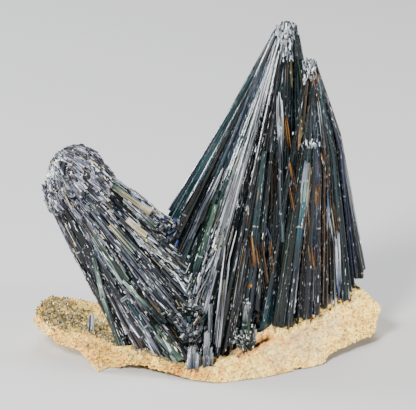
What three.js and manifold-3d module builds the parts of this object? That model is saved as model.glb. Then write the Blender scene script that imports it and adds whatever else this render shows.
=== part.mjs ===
// A vivianite specimen: two radiating sprays of flat-faced, blade-like crystals that stand
// on a broken, slightly dished slab of sandstone.  The tall spray has a main peak and a
// second, lower peak on its right; the leaning spray starts in a blunt knob on the left and
// its right-hand blades end against the tall one.  A small cluster of crystals grows at the
// foot of the tall spray, and a lone crystal stands on the slab's left wing.
//
// Millimetres, +Z up, +X to the right, -Y towards the front.  The origin is the centre of
// the bounding box's bottom, on the surface that the slab rests on.

import * as THREE from "three";
import { mergeVertices } from "three/addons/utils/BufferGeometryUtils.js";
import Module from "manifold-3d";

const wasm = await Module();
wasm.setup();

// ---------------------------------------------------------------- driving dimensions

const GAP = 0.3; // clearance between neighbouring nodes
const MAIN_PEAK = [21.3, -3.0, 90.0]; // top of the tall spray
const MAIN_PEAK_RADIUS = 2.2; // how wide it is there
const SECOND_PEAK = [24.9, -6.0, 80.8]; // its lower peak
const SECOND_PEAK_RADIUS = 3.1;
const TALL_HEART = [16.0, -3.0]; // plan centre that the tall spray's blades surround
const LEAN_ORIGIN = [-54.6, -4.5, 71.8]; // the point that the leaning spray's blades spread from
const LEAN_START = 0.37; // share of the way from there at which they start
const KNOB_CENTRE = [-33.0, -4.5, 46.3]; // middle of the rounded knob that they start in
const KNOB_RADII = [8.1, 7.6, 10.0];
const KNOB_ROUGHNESS = 0.14; // how far its corners go in and out, as a share of the radii
const LEANING_HEART = [-13.0, -8.0, 10.0]; // middle of the leaning spray's foot
const SLAB_FLAT = 0.66; // share of the slab's outline that rests flat
const SLAB_ROUGH = 0.95; // how far its broken skin goes in and out
const SLAB_REACH = 22; // about the distance from its middle to its edge
const SLAB_MIDDLE = [0, 8]; // the point that its upper surface closes in on

// Every blade's width, thickness, turn about its length and broken end vary between these.
const WIDTHS = [0.8, 1.4]; // shares of the spacing of the blades
const TALL_THICKNESS = [0.55, 0.9];
const LEANING_THICKNESS = [0.32, 0.62];
const TURNS = [-0.45, 0.45]; // radians
const SLANTS = [-0.45, 0.45]; // rise of the end across the blade's width
const BOW_AT = 0.35; // share of a bowed blade's length at which it stands out most

// Tidying after the cuts.
const CUT_GAP = GAP + 0.15; // what a cutter grows by, so that smoothing keeps the gap
const CUTTER_DEPTH = 40; // how far the cutter under the sprays goes down
const SMALLEST = [0.16, 0.12, 0.1, 0.08, 0.05, 0.03, 0.02, 0.01]; // detail to smooth away, coarsest first
const WELD = 1e-3; // corners nearer than this are one
const TOUCH = 1e-4; // edges nearer than this are the same edge
const MOST_WELDS = 20;

// ---------------------------------------------------------------- small helpers

// The same numbers on every run: a linear congruential generator.
function makeRandom(seed) {
  let state = seed >>> 0;
  return () => {
    state = (Math.imul(state, 1664525) + 1013904223) >>> 0;
    return state / 4294967296;
  };
}

const mix = (a, b, t) => a + (b - a) * t;
const draw = (random, [low, high]) => mix(low, high, random());
const vec = (p) => new THREE.Vector3(p[0], p[1], p[2]);

// The point at share t of an open run of rows, each a list of numbers.
function along(rows, t) {
  const place = Math.min(Math.max(t, 0), 1) * (rows.length - 1);
  const i = Math.min(Math.floor(place), rows.length - 2);
  return rows[i].map((v, k) => mix(v, rows[i + 1][k], place - i));
}

// The length of a run of foot points.
function runLength(rows) {
  let sum = 0;
  for (let i = 1; i < rows.length; i++)
    sum += Math.hypot(rows[i][0] - rows[i - 1][0], rows[i][1] - rows[i - 1][1], rows[i][2] - rows[i - 1][2]);
  return sum;
}

// ---------------------------------------------------------------- solids and booleans

function toSolid(geometry) {
  const bare = geometry.clone();
  bare.deleteAttribute("normal");
  bare.deleteAttribute("uv");
  const merged = mergeVertices(bare, WELD);
  return new wasm.Manifold(
    new wasm.Mesh({
      numProp: 3,
      vertProperties: new Float32Array(merged.attributes.position.array),
      triVerts: new Uint32Array(merged.index.array),
    }),
  );
}

function toGeometry(solid) {
  const mesh = solid.getMesh();
  const geometry = new THREE.BufferGeometry();
  geometry.setAttribute("position", new THREE.BufferAttribute(new Float32Array(mesh.vertProperties), 3));
  geometry.setIndex(new THREE.BufferAttribute(new Uint32Array(mesh.triVerts), 1));
  geometry.computeVertexNormals();
  return geometry;
}

// Blades that cross can shut pockets in, and a cut can leave loose chips.  The crystal is
// the one skin that holds the most, without either.  Welding can split it again, so this
// goes on until a weld changes nothing.
function outerBody(solid) {
  let body = solid;
  for (let pass = 0; pass < MOST_WELDS; pass++) {
    const bodies = toSolid(toGeometry(body)).decompose();
    bodies.sort((a, b) => b.volume() - a.volume());
    const settled = bodies.length === 1 && bodies[0].numTri() === body.numTri();
    body = bodies[0];
    if (settled) break;
  }
  return body;
}

// Whether two parts of a skin touch along an edge, which would not be one closed body.
function touchesItself(solid) {
  const mesh = solid.getMesh();
  const place = (i) => [0, 1, 2].map((k) => Math.round(mesh.vertProperties[3 * i + k] / TOUCH)).join();
  const uses = new Map();
  for (let f = 0; f < mesh.triVerts.length; f += 3) {
    const corners = [0, 1, 2].map((k) => place(mesh.triVerts[f + k]));
    if (new Set(corners).size < 3) continue;
    for (let k = 0; k < 3; k++) {
      const edge = [corners[k], corners[(k + 1) % 3]].sort().join(" to ");
      uses.set(edge, (uses.get(edge) ?? 0) + 1);
    }
  }
  return [...uses.values()].some((count) => count !== 2);
}

// One clean closed body: the coarsest smoothing that leaves no edge touching another.
function cleanBody(solid) {
  for (const detail of SMALLEST) {
    const body = outerBody(solid.simplify(detail));
    if (!touchesItself(body)) return body;
  }
  throw new Error("no smoothing leaves one closed body");
}

// A closed skin through rings of equal length.  Each end ring is closed by a fan from its
// first corner, or from its middle where `domed` is set.
function skin(rings, domed = false) {
  const sides = rings[0].length;
  const points = rings.flat();
  const faces = [];
  for (let r = 0; r + 1 < rings.length; r++)
    for (let s = 0; s < sides; s++) {
      const a = r * sides + s;
      const b = r * sides + ((s + 1) % sides);
      faces.push(a, b, a + sides, b, b + sides, a + sides);
    }
  const last = (rings.length - 1) * sides;
  if (domed) {
    const middle = (ring) => [0, 1, 2].map((k) => ring.reduce((sum, p) => sum + p[k], 0) / sides);
    const bottom = points.push(middle(rings[0])) - 1;
    const top = points.push(middle(rings[rings.length - 1])) - 1;
    for (let s = 0; s < sides; s++) {
      const next = (s + 1) % sides;
      faces.push(bottom, next, s, top, last + s, last + next);
    }
  } else
    for (let s = 1; s + 1 < sides; s++) faces.push(0, s + 1, s, last, last + s, last + s + 1);
  const geometry = new THREE.BufferGeometry();
  geometry.setAttribute("position", new THREE.Float32BufferAttribute(points.flat(), 3));
  geometry.setIndex(faces);
  return geometry;
}

// ---------------------------------------------------------------- one blade

// The cross-section of a blade, as shares of its width and thickness: a flat hexagon.
const SECTION = [
  [0.5, 0],
  [0.29, -0.5],
  [-0.29, -0.5],
  [-0.5, 0],
  [-0.29, 0.5],
  [0.29, 0.5],
];

// A tapered prism from `from` to `to`.  `out` is the way its flat face looks before it is
// rolled, `start` and `end` scale the section, `slant` makes the far end oblique, and `bow`
// is how far the blade stands out to that side on its way.
function bladeSolid(blade, grow = 0) {
  const axis = blade.to.clone().sub(blade.from).normalize();
  const side = new THREE.Vector3().crossVectors(axis, blade.out).normalize();
  side.applyAxisAngle(axis, blade.roll);
  const face = new THREE.Vector3().crossVectors(side, axis);
  const ring = (centre, scale, slant) =>
    SECTION.map(([u, v]) => {
      const x = u * (blade.width * scale + 2 * grow);
      const y = v * (blade.thickness * scale + 2 * grow);
      return centre
        .clone()
        .addScaledVector(side, x)
        .addScaledVector(face, y)
        .addScaledVector(axis, slant * x)
        .toArray();
    });
  const rings = [ring(blade.from.clone().addScaledVector(axis, -grow), blade.start, -0.4 * blade.slant)];
  if (blade.bow) {
    const outward = blade.out.clone().addScaledVector(axis, -blade.out.dot(axis)).normalize();
    const middle = blade.from.clone().lerp(blade.to, BOW_AT).addScaledVector(outward, blade.bow);
    rings.push(ring(middle, mix(blade.start, blade.end, BOW_AT), 0));
  }
  rings.push(ring(blade.to.clone().addScaledVector(axis, grow), blade.end, blade.slant));
  return toSolid(skin(rings));
}

// The solid heart of a spray, under its blades: it narrows from a wide ring to a peak.
function heartSolid(peak, peakRadius, foot, middle, share) {
  const axis = vec(peak).sub(vec(middle)).normalize();
  const wide = foot.map(([x, y, z]) => vec(middle).lerp(new THREE.Vector3(x, y, z), share));
  const narrow = wide.map((p) => {
    const out = p.clone().sub(vec(middle));
    out.addScaledVector(axis, -out.dot(axis)).normalize();
    return vec(peak).addScaledVector(out, peakRadius);
  });
  return toSolid(skin([wide.map((p) => p.toArray()), narrow.map((p) => p.toArray())], true));
}

// A rough lump: a ball whose corners are pushed in and out.
function lumpSolid(centre, radii, roughness, seed) {
  const ball = new THREE.IcosahedronGeometry(1, 2);
  ball.deleteAttribute("normal");
  ball.deleteAttribute("uv");
  const whole = mergeVertices(ball);
  const random = makeRandom(seed);
  const at = whole.attributes.position;
  for (let i = 0; i < at.count; i++) {
    const push = 1 + roughness * (random() - 0.5);
    const moved = [at.getX(i), at.getY(i), at.getZ(i)].map((v, k) => centre[k] + v * radii[k] * push);
    at.setXYZ(i, ...moved);
  }
  return toSolid(whole);
}

// ---------------------------------------------------------------- a fan of blades

// What varies from blade to blade, on blades about `size` wide.
function randomSection(random, size, thickness) {
  return {
    width: size * draw(random, WIDTHS),
    thickness: size * draw(random, thickness),
    roll: draw(random, TURNS),
    slant: draw(random, SLANTS),
  };
}

// Blades that run from a peak to a run of foot points.  Each row of `foot` is x, y, z, the
// share of its length that a blade there reaches, and how far it bows out.
function fan({ peak, peakRadius, foot, count, width, seed, shortest }) {
  const relief = 0.05; // how far the blades stand out and back, as a share
  const waves = 2.5; // times that they do so all the way round
  const latest = 0.12; // the longest that a blade starts below the peak, as a share
  const narrowest = 0.24; // a blade's width at the peak, as a share of that at its foot
  const random = makeRandom(seed);
  const size = (runLength(foot) / count) * width;
  const scaleAt = (share) => mix(narrowest, 1, share);
  const blades = [];
  for (let i = 0; i < count; i++) {
    const t = (i + 0.5 + draw(random, [-0.2, 0.2])) / count;
    const [x, y, z, reach, bow = 0] = along(foot, t);
    const push = 1 + relief * Math.sin(waves * 2 * Math.PI * t + seed) + relief * (random() - 0.5);
    const base = new THREE.Vector3(mix(TALL_HEART[0], x, push), mix(TALL_HEART[1], y, push), z);
    const out = new THREE.Vector3(x - TALL_HEART[0], y - TALL_HEART[1], 0).normalize();
    const top = vec(peak).addScaledVector(out, peakRadius * draw(random, [0.6, 1.1]));
    top.z -= peakRadius * draw(random, [0, 0.9]);
    const first = latest * random() * random();
    const last = reach * (1 - shortest * random());
    blades.push({
      from: top.clone().lerp(base, first),
      to: top.clone().lerp(base, last),
      out,
      bow,
      start: scaleAt(first),
      end: scaleAt(last),
      ...randomSection(random, size, TALL_THICKNESS),
    });
  }
  return blades;
}

// A short, stout crystal between two points.
function spike(from, to, width, roll) {
  return {
    from: vec(from),
    to: vec(to),
    out: new THREE.Vector3(0.2, -1, 0).normalize(),
    width,
    thickness: width * 0.75,
    roll,
    start: 1.0,
    end: 0.8,
    slant: 0.35,
  };
}

// ---------------------------------------------------------------- the tall spray

// Foot points of the blades from the main peak, from the back round the left to the front
// ridge, then behind the second peak's blades and on round the back: x, y, z and the share
// of the way that a blade there reaches.
const MAIN_FOOT = [
  [2, 17, 5, 1.0],
  [-9, 14, 6, 0.9],
  [-19, 8, 9, 0.72],
  [-26, -2, 8, 0.63],
  [-20, -11, 8, 0.74],
  [-12, -18, 5, 0.86],
  [-5, -23, 2.5, 1.0],
  [1.5, -24.6, 2.2, 1.0],
  [7, -17.4, 4.2, 1.0],
  [11, -13, 5.4, 0.93],
  [20, -9, 6, 1.0],
  [31, -5, 8, 1.0],
  [41, 2, 10, 1.0],
  [37, 13, 8, 1.0],
  [28, 20, 6, 1.0],
  [15, 21, 5, 1.0],
  [2, 17, 5, 1.0],
];

// The same for the second peak, from beside the dark recess round the right to the back,
// and how far the blades bow out: they make the spray's rounded right shoulder.
const SECOND_FOOT = [
  [14.5, -11.8, 6.5, 1.0, 0.3],
  [20, -12, 8, 1.0, 0.6],
  [27, -9, 9, 1.0, 1.2],
  [34, -5, 11, 1.0, 1.8],
  [38.5, -1, 13, 1.0, 2.2],
  [41.5, 5, 13, 0.92, 2.4],
  [40.5, 11, 11, 0.95, 2.2],
  [34.5, 17, 9, 1.0, 1.6],
  [26, 20, 6, 1.0, 1.0],
];

// The foot of the tall spray's solid heart, all the way round.
const HEART_FOOT = [
  [-3.5, -22, 0],
  [2.5, -20.5, 0],
  [11, -10.5, 0],
  [22, -9, 3],
  [33, -3, 6],
  [38, 4, 6],
  [34, 14, 4],
  [20, 18, 2],
  [4, 15, 2],
  [-6, 8, 2],
  [-8, -3, 2],
  [-7, -14, 0],
];

// Pale columns, broken off short, at the foot of the front ridge.
const BROKEN_STUBS = [
  spike([-3.7, -25.8, 2.6], [-3.4, -25.2, 8.6], 2.2, 0.2),
  spike([-1.9, -26.2, 2.6], [-1.7, -25.8, 7.2], 1.9, 0.9),
  spike([0.2, -25.8, 3.0], [0.6, -24.8, 12.6], 2.4, 0.5),
  spike([1.2, -24.4, 10.0], [1.4, -22.9, 19.6], 1.8, 0.1),
];

function tallBlades() {
  const main = { peak: MAIN_PEAK, peakRadius: MAIN_PEAK_RADIUS, foot: MAIN_FOOT };
  const second = { peak: SECOND_PEAK, peakRadius: SECOND_PEAK_RADIUS, foot: SECOND_FOOT };
  return [
    ...fan({ ...main, count: 34, width: 1.15, seed: 11, shortest: 0.06 }),
    ...fan({ ...second, count: 15, width: 1.25, seed: 31, shortest: 0.04 }),
    ...BROKEN_STUBS,
  ];
}

// ---------------------------------------------------------------- the leaning spray

// Foot points round the leaning spray: along the slab in front, up the crease against the
// tall spray, and round the back.
const LEANING_FOOT = [
  [-22.4, -11, 4],
  [-21.2, -16, 3.5],
  [-18, -17.6, 5],
  [-13, -20.4, 4.5],
  [-8, -23.2, 4],
  [-2.5, -24.4, 3.5],
  [1, -21.4, 7],
  [3.5, -17, 15],
  [5, -12, 23],
  [2, -8, 29],
  [-3, -3, 31],
  [-8, 4, 27],
  [-9, 9, 15],
  [-14, 9, 4],
  [-19.5, 6, 4],
  [-22.4, -2, 4],
  [-22.4, -11, 4],
];

function leaningBlades() {
  const count = 21;
  const overlap = 1.25; // a blade's width, as a share of the spacing
  const random = makeRandom(57);
  const origin = vec(LEAN_ORIGIN);
  const middle = vec(LEANING_HEART);
  const size = (runLength(LEANING_FOOT) / count) * overlap;
  const blades = [];
  for (let i = 0; i < count; i++) {
    const t = (i + 0.5 + draw(random, [-0.2, 0.2])) / count;
    const base = middle.clone().lerp(vec(along(LEANING_FOOT, t)), draw(random, [0.94, 1.02]));
    const axis = base.clone().sub(origin).normalize();
    const out = base.clone().sub(middle);
    out.addScaledVector(axis, -out.dot(axis)).normalize();
    blades.push({
      from: origin.clone().lerp(base, LEAN_START + 0.14 * random() * random()),
      to: base,
      out,
      start: 0.5,
      end: 1.0,
      ...randomSection(random, size, LEANING_THICKNESS),
    });
  }
  return blades;
}

// The heart of the leaning spray: the same spread, a little inside its blades.
function leaningHeartSolid() {
  const origin = vec(LEAN_ORIGIN);
  const feet = LEANING_FOOT.slice(0, -1).map((p) => vec(LEANING_HEART).lerp(vec(p), 0.86));
  const ring = (share) => feet.map((p) => origin.clone().lerp(p, share).toArray());
  return toSolid(skin([ring(1), ring(LEAN_START)], true));
}

// ---------------------------------------------------------------- the slab

// Rows round the slab's broken edge, from the front to the left: the lower edge's x, y, z
// and the upper edge's x, y, z.
const EDGE = [
  [2, -29, 0, 2.5, -27.6, 3.6],
  [-10, -24.8, 1.2, -10.2, -24.0, 4.3],
  [-14.4, -22.6, 1.8, -14.4, -21.6, 5.0],
  [-18.5, -20.6, 2.0, -18.5, -19.4, 6.0],
  [-23.3, -19.4, 0.7, -23, -16.5, 5.8],
  [-26.4, -18.4, 0.8, -26, -14.5, 6.6],
  [-28.3, -22.2, 0.2, -28.2, -14.2, 7.2],
  [-30.4, -19.4, 1.4, -30.5, -13.6, 7.4],
  [-33, -14.9, 3.1, -33.5, -12.2, 7.6],
  [-38, -12.4, 4.2, -38.5, -9.6, 8.4],
  [-41.6, -10.6, 5.2, -41.8, -8.2, 8.8],
  [-45, -6, 8.0, -44.2, -4.5, 9.6],
  [-44, 3, 7.0, -43, 2, 11.2],
  [-40, 9, 5.0, -39, 6.5, 10.6],
  [-30, 13, 3.0, -28.5, 9.5, 7.4],
  [-15, 22, 1.2, -14, 18.5, 7.0],
  [0, 28.4, 0, 0, 25.6, 7.2],
  [14, 29, 0, 14, 26, 8.2],
  [28, 26, 1.0, 27, 23.4, 10.4],
  [38, 18, 2.4, 37, 16.4, 12.4],
  [43.4, 9, 3.4, 42.2, 8.4, 13.0],
  [44.7, -1.2, 3.0, 44.9, 2, 11.4],
  [39.6, -7.4, 2.5, 38.6, 1.6, 15.8],
  [34.2, -12.8, 1.7, 33.0, -4.0, 13.0],
  [31.8, -16.6, 0.8, 28.0, -6.6, 11.8],
  [25, -20.6, 0.3, 22.2, -9.2, 10.6],
  [17, -25.2, 0, 14.9, -13.6, 8.6],
  [9.2, -28.2, 0, 8.6, -20, 5.6],
];
const EDGE_STEPS = 2 * EDGE.length;

// Rings of the slab, as shares of the way out from its middle or up its broken face.
const FLAT_RING = 0.3;
const UNDERSIDE_RINGS = [0.86, 0.985];
const FACE_RINGS = [0.33, 0.66];
const TOP_RINGS = [0.9, 0.74, 0.5];

// The height of the slab's upper surface inside its edge.
function floorHeight(x) {
  return 5.6 + (x > 0 ? 0.21 * x : 0.02 * x);
}

function closedCurve(first) {
  const points = EDGE.map((row) => new THREE.Vector3(row[first], row[first + 1], row[first + 2]));
  return new THREE.CatmullRomCurve3(points, true, "centripetal");
}

// Rings from the middle of the underside, out and up over the broken edge, and back to the
// middle of the upper surface.
function slabRings() {
  const random = makeRandom(71);
  const jitter = (share) => share * SLAB_ROUGH * (random() - 0.5);
  const lower = closedCurve(0);
  const upper = closedCurve(3);
  const low = (t) => lower.getPoint(t);
  const high = (t) => upper.getPoint(t);
  const inward = (p, share, z) => [p.x * share, p.y * share, z];
  const rings = [];
  function ring(point) {
    const made = [];
    for (let s = 0; s < EDGE_STEPS; s++) made.push(point(s / EDGE_STEPS));
    rings.push(made);
  }
  // The underside: a flat middle, then a gentle rise to the lower edge.
  ring((t) => inward(low(t), FLAT_RING, 0));
  ring((t) => inward(low(t), SLAB_FLAT, 0));
  ring((t) => inward(low(t), UNDERSIDE_RINGS[0], low(t).z * 0.45 + SLAB_ROUGH * random()));
  ring((t) => inward(low(t), UNDERSIDE_RINGS[1], Math.max(0, low(t).z - 0.25 + jitter(1))));
  // The broken face, in two bands with knocked corners.
  for (const share of FACE_RINGS)
    ring((t) => {
      const p = low(t).lerp(high(t), share + 0.14 * (random() - 0.5));
      const bulge = 1.004 + jitter(1) / SLAB_REACH;
      return [p.x * bulge, p.y * bulge, Math.max(0.4, p.z + jitter(1))];
    });
  ring((t) => inward(high(t), 1 + 0.01 * (random() - 0.5), high(t).z + jitter(1)));
  // The upper surface.
  for (const share of TOP_RINGS)
    ring((t) => {
      const p = high(t);
      const x = mix(SLAB_MIDDLE[0], p.x, share);
      const y = mix(SLAB_MIDDLE[1], p.y, share);
      const settle = Math.min(1, (1 - share) / 0.3);
      const z = mix(p.z, floorHeight(x), settle * settle * (3 - 2 * settle));
      return [x, y, z + jitter(1.3)];
    });
  return rings;
}

// skin() winds its rings from the first to the last, so these run the other way round.
const slabSolid = (rings) => toSolid(skin(rings.map((r) => [...r].reverse()), true));

// The slab carried down and grown by the gap, once upwards and once outwards at its edge:
// it trims the sprays' feet.
function slabCutter() {
  const underside = 1 + UNDERSIDE_RINGS.length; // rings that the cutter leaves out
  const edgeRings = 2 + FACE_RINGS.length; // then those of the broken edge
  const rings = slabRings().slice(underside);
  const grown = (edgeSpread, middleRise) => {
    const moved = rings.map((ring, i) => {
      const atEdge = i < edgeRings;
      const share = atEdge ? edgeSpread : 1;
      const rise = atEdge ? CUT_GAP : middleRise;
      return ring.map(([x, y, z]) => [x * share, y * share, z + rise]);
    });
    const deep = moved[0].map(([x, y]) => [x, y, -CUTTER_DEPTH]);
    return slabSolid([deep, ...moved]);
  };
  return grown(1, CUT_GAP).add(grown(1 + CUT_GAP / SLAB_REACH, 0));
}

// ---------------------------------------------------------------- small crystals

const FOOT_CLUSTER = [
  spike([10.8, -17.6, 4.5], [10.8, -16.0, 18.2], 3.1, 0.2),
  spike([9.8, -18.2, 4.5], [7.4, -18.8, 12.0], 1.6, 0.6),
  spike([11.6, -18.2, 4.5], [13.0, -18.6, 11.6], 1.6, 1.1),
  spike([10.6, -18.8, 4.5], [9.4, -19.6, 11.0], 1.3, 1.8),
];

const LONE_CRYSTAL = [spike([-30.0, -9.6, 5.0], [-29.6, -9.2, 11.2], 1.4, 0.3)];

// ---------------------------------------------------------------- putting it together

const unionOf = (blades, grow = 0) => wasm.Manifold.union(blades.map((b) => bladeSolid(b, grow)));

const slab = slabSolid(slabRings());
const underSlab = slabCutter();
const HEART_RADIUS = 18; // about how wide the tall spray's heart is at its foot
const tallHeartOf = (grow) =>
  heartSolid(MAIN_PEAK, 1.0 + grow, HEART_FOOT, [...TALL_HEART, 0], 0.9 + grow / HEART_RADIUS);
const tallHeart = tallHeartOf(0);
const tallList = tallBlades();
const clusterGrown = unionOf(FOOT_CLUSTER, CUT_GAP);
const tall = cleanBody(unionOf(tallList).add(tallHeart).subtract(underSlab).subtract(clusterGrown));
const tallGrown = unionOf(tallList, CUT_GAP).add(tallHeartOf(CUT_GAP));
const knob = lumpSolid(KNOB_CENTRE, KNOB_RADII, KNOB_ROUGHNESS, 91);
const leaningWhole = unionOf(leaningBlades()).add(leaningHeartSolid()).add(knob);
const leaning = cleanBody(leaningWhole.subtract(underSlab).subtract(tallGrown));
const cluster = outerBody(unionOf(FOOT_CLUSTER).subtract(underSlab));
const lone = outerBody(unionOf(LONE_CRYSTAL).subtract(underSlab));

const crystalFinish = { color: 0x1d2c30, roughness: 0.25, metalness: 0.1 };
const paleFinish = { color: 0x9fb0bb, roughness: 0.35, metalness: 0.0 };
const slabFinish = { color: 0xcfb287, roughness: 0.9, metalness: 0.0 };

const specimen = new THREE.Group();
function add(name, solid, finish) {
  const mesh = new THREE.Mesh(toGeometry(solid), new THREE.MeshStandardMaterial(finish));
  mesh.name = name;
  specimen.add(mesh);
}

add("matrix_slab", slab, slabFinish);
add("tall_spray", tall, crystalFinish);
add("leaning_spray", leaning, crystalFinish);
add("foot_cluster", cluster, paleFinish);
add("lone_crystal", lone, paleFinish);

export default specimen;
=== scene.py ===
# %% [markdown]
# # A vivianite specimen
# Two sprays of long, flat crystals stand on a broken slab of sandstone.  The CAD model
# gives the true outside of each piece.  This script builds the look around it: every spray
# becomes several hundred thin blades and a few thousand splinters, and the slab gets its
# broken, sandy skin.

# %% Load the frame
import math

import bpy
import numpy as np
from mathutils import Matrix, Vector, noise
from mathutils.bvhtree import BVHTree


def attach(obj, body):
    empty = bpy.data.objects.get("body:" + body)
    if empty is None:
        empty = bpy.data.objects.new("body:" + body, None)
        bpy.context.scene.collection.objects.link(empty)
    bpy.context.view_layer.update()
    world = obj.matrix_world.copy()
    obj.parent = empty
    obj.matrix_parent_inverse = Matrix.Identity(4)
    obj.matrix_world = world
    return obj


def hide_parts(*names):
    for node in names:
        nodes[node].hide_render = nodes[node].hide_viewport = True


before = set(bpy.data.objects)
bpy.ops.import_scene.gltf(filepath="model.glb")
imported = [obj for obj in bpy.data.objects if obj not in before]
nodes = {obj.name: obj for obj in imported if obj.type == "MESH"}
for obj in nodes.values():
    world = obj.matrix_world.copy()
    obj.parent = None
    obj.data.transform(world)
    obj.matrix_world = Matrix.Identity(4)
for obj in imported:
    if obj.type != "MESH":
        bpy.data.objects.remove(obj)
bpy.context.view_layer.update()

MM = 0.001
print("CAD nodes:", sorted(nodes))

# %% [markdown]
# ## Random numbers that never change
# Natural things need scatter, but a lesson has to come out the same every time.  A small
# linear congruential generator does that: it is a few lines long and the CAD program uses
# the same one.


# %% Seeded random numbers
class Dice:
    def __init__(self, seed):
        self.state = seed & 0xFFFFFFFF

    def roll(self, low=0.0, high=1.0):
        self.state = (self.state * 1664525 + 1013904223) & 0xFFFFFFFF
        return low + (high - low) * self.state / 4294967296

    def pick(self, choices):
        """One of [(weight, thing), ...]."""
        place = self.roll(0, sum(w for w, _ in choices))
        for weight, thing in choices:
            place -= weight
            if place <= 0:
                return thing
        return choices[-1][1]


def mix(a, b, t):
    return a + (b - a) * t


def mix3(a, b, t):
    return tuple(mix(x, y, t) for x, y in zip(a, b))


def lighten(tint, factor):
    """The same colour, lighter or darker."""
    return tuple(channel * factor for channel in tint)


def along(rows, t):
    """The row at share t of a run of rows."""
    place = min(max(t, 0), 1) * (len(rows) - 1)
    i = min(int(place), len(rows) - 2)
    return [mix(a, b, place - i) for a, b in zip(rows[i], rows[i + 1])]


# %% [markdown]
# ## One blade
# Vivianite grows as long, flat prisms, and splits along them.  Each blade here is a tapered
# prism whose outer face carries ridges of different heights, because a real face is a stack
# of thin layers.  Where a layer has broken off, the face steps down, and the fresh edge is
# pale.  Bumps in a material alone would leave the outline smooth, so the ridges and steps
# are in the mesh.  Every corner also carries facts for the material: a tint, how far round
# and how far along the blade it is, and how worn the blade is and how many painted glints
# it carries.

# %% Cross-sections
# A section is one blade wide and one blade thick, and its outer face is at 0.5.
PLAIN_SECTION = [(0.5, -0.5), (0.4, 0.5), (-0.4, 0.5), (-0.5, -0.5)]  # for small splinters
PEEL_FROM = 0.2  # corners of the section further out than this belong to the outer face
VALLEY = 0.24  # the deepest a valley between two ridges may be


def ridged_section(dice, ridges):
    """A flat prism with ridges along its outer face."""
    face = []
    for k in range(ridges):
        u = 0.4 - 0.8 * (k + dice.roll(-0.3, 0.3)) / (ridges - 1)
        face.append((u, 0.5 - dice.roll(0, VALLEY)))
    back = [(-0.5, 0.14), (-0.5, -0.14), (-0.32, -0.5), (0.32, -0.5)]
    return [(0.5, -0.14), (0.5, 0.14), *face, *back]


# %% Places along a blade
BREAK_WIDTH = 0.12  # millimetres
# A break pales the corners near it: how many widths from it, and how pale.
BREAK_ROWS = ((-2, 0.0), (0, 1.0), (1, 1.0), (3, 0.0))
DEEPEST_SPLIT = 0.4  # of the blade's thickness


def stops_along(length, steps, breaks, dice):
    """Rows of: how far along, how much of the outer face has split off, how pale it is."""
    cracks = sorted((dice.roll(0.12, 0.95), dice.roll(-0.3, 0.34)) for _ in range(breaks))
    places = []
    for step in range(steps + 1):
        nudge = dice.roll(-0.3, 0.3) / steps if 0 < step < steps else 0
        places.append((step / steps + nudge, 0.0))
    for crack, _ in cracks:
        places += [(crack + BREAK_WIDTH / length * widths, pale) for widths, pale in BREAK_ROWS]
    rows = []
    for t, pale in sorted(places):
        if 0 <= t <= 1:
            split = sum(depth for crack, depth in cracks if crack < t)
            rows.append((t, min(max(split, 0.0), DEEPEST_SPLIT), pale))
    return rows


BOW_AT = 0.35  # where a bowed blade stands out most


def bow_shape(share):
    """0 at both ends of a line and 1 at BOW_AT."""
    return max(0.0, share / BOW_AT if share < BOW_AT else (1 - share) / (1 - BOW_AT))


# %% From lists of corners to an object
def write_layer(mesh, label, kind, key, rows):
    """Store one value for every corner of a mesh, under a name that a material can ask for."""
    layer = mesh.attributes.new(label, kind, "POINT")
    layer.data.foreach_set(key, np.array(rows, dtype=np.float32).ravel())


def mesh_object(name, points, faces, material):
    """An object in the scene, from corners in millimetres."""
    mesh = bpy.data.meshes.new(name)
    mesh.from_pydata([tuple(p * MM) for p in points], [], faces)
    mesh.update()
    mesh.materials.append(material)
    made = bpy.data.objects.new(name, mesh)
    bpy.context.scene.collection.objects.link(made)
    print(name, len(faces), "faces")
    return made


# %% A builder that collects blades into one mesh
FRESH = (0.34, 0.36, 0.37)  # a fresh, crushed edge
SWELL = (0.97, 1.02)  # how a blade's section varies from row to row
WANDER = 0.02  # how far a blade's middle strays, as a share of its width
LENS_RUN = (0.03, 0.97)  # the part of half a wave that a lens follows
KNOBS = 4  # waves of noise over a lump's radius


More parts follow.
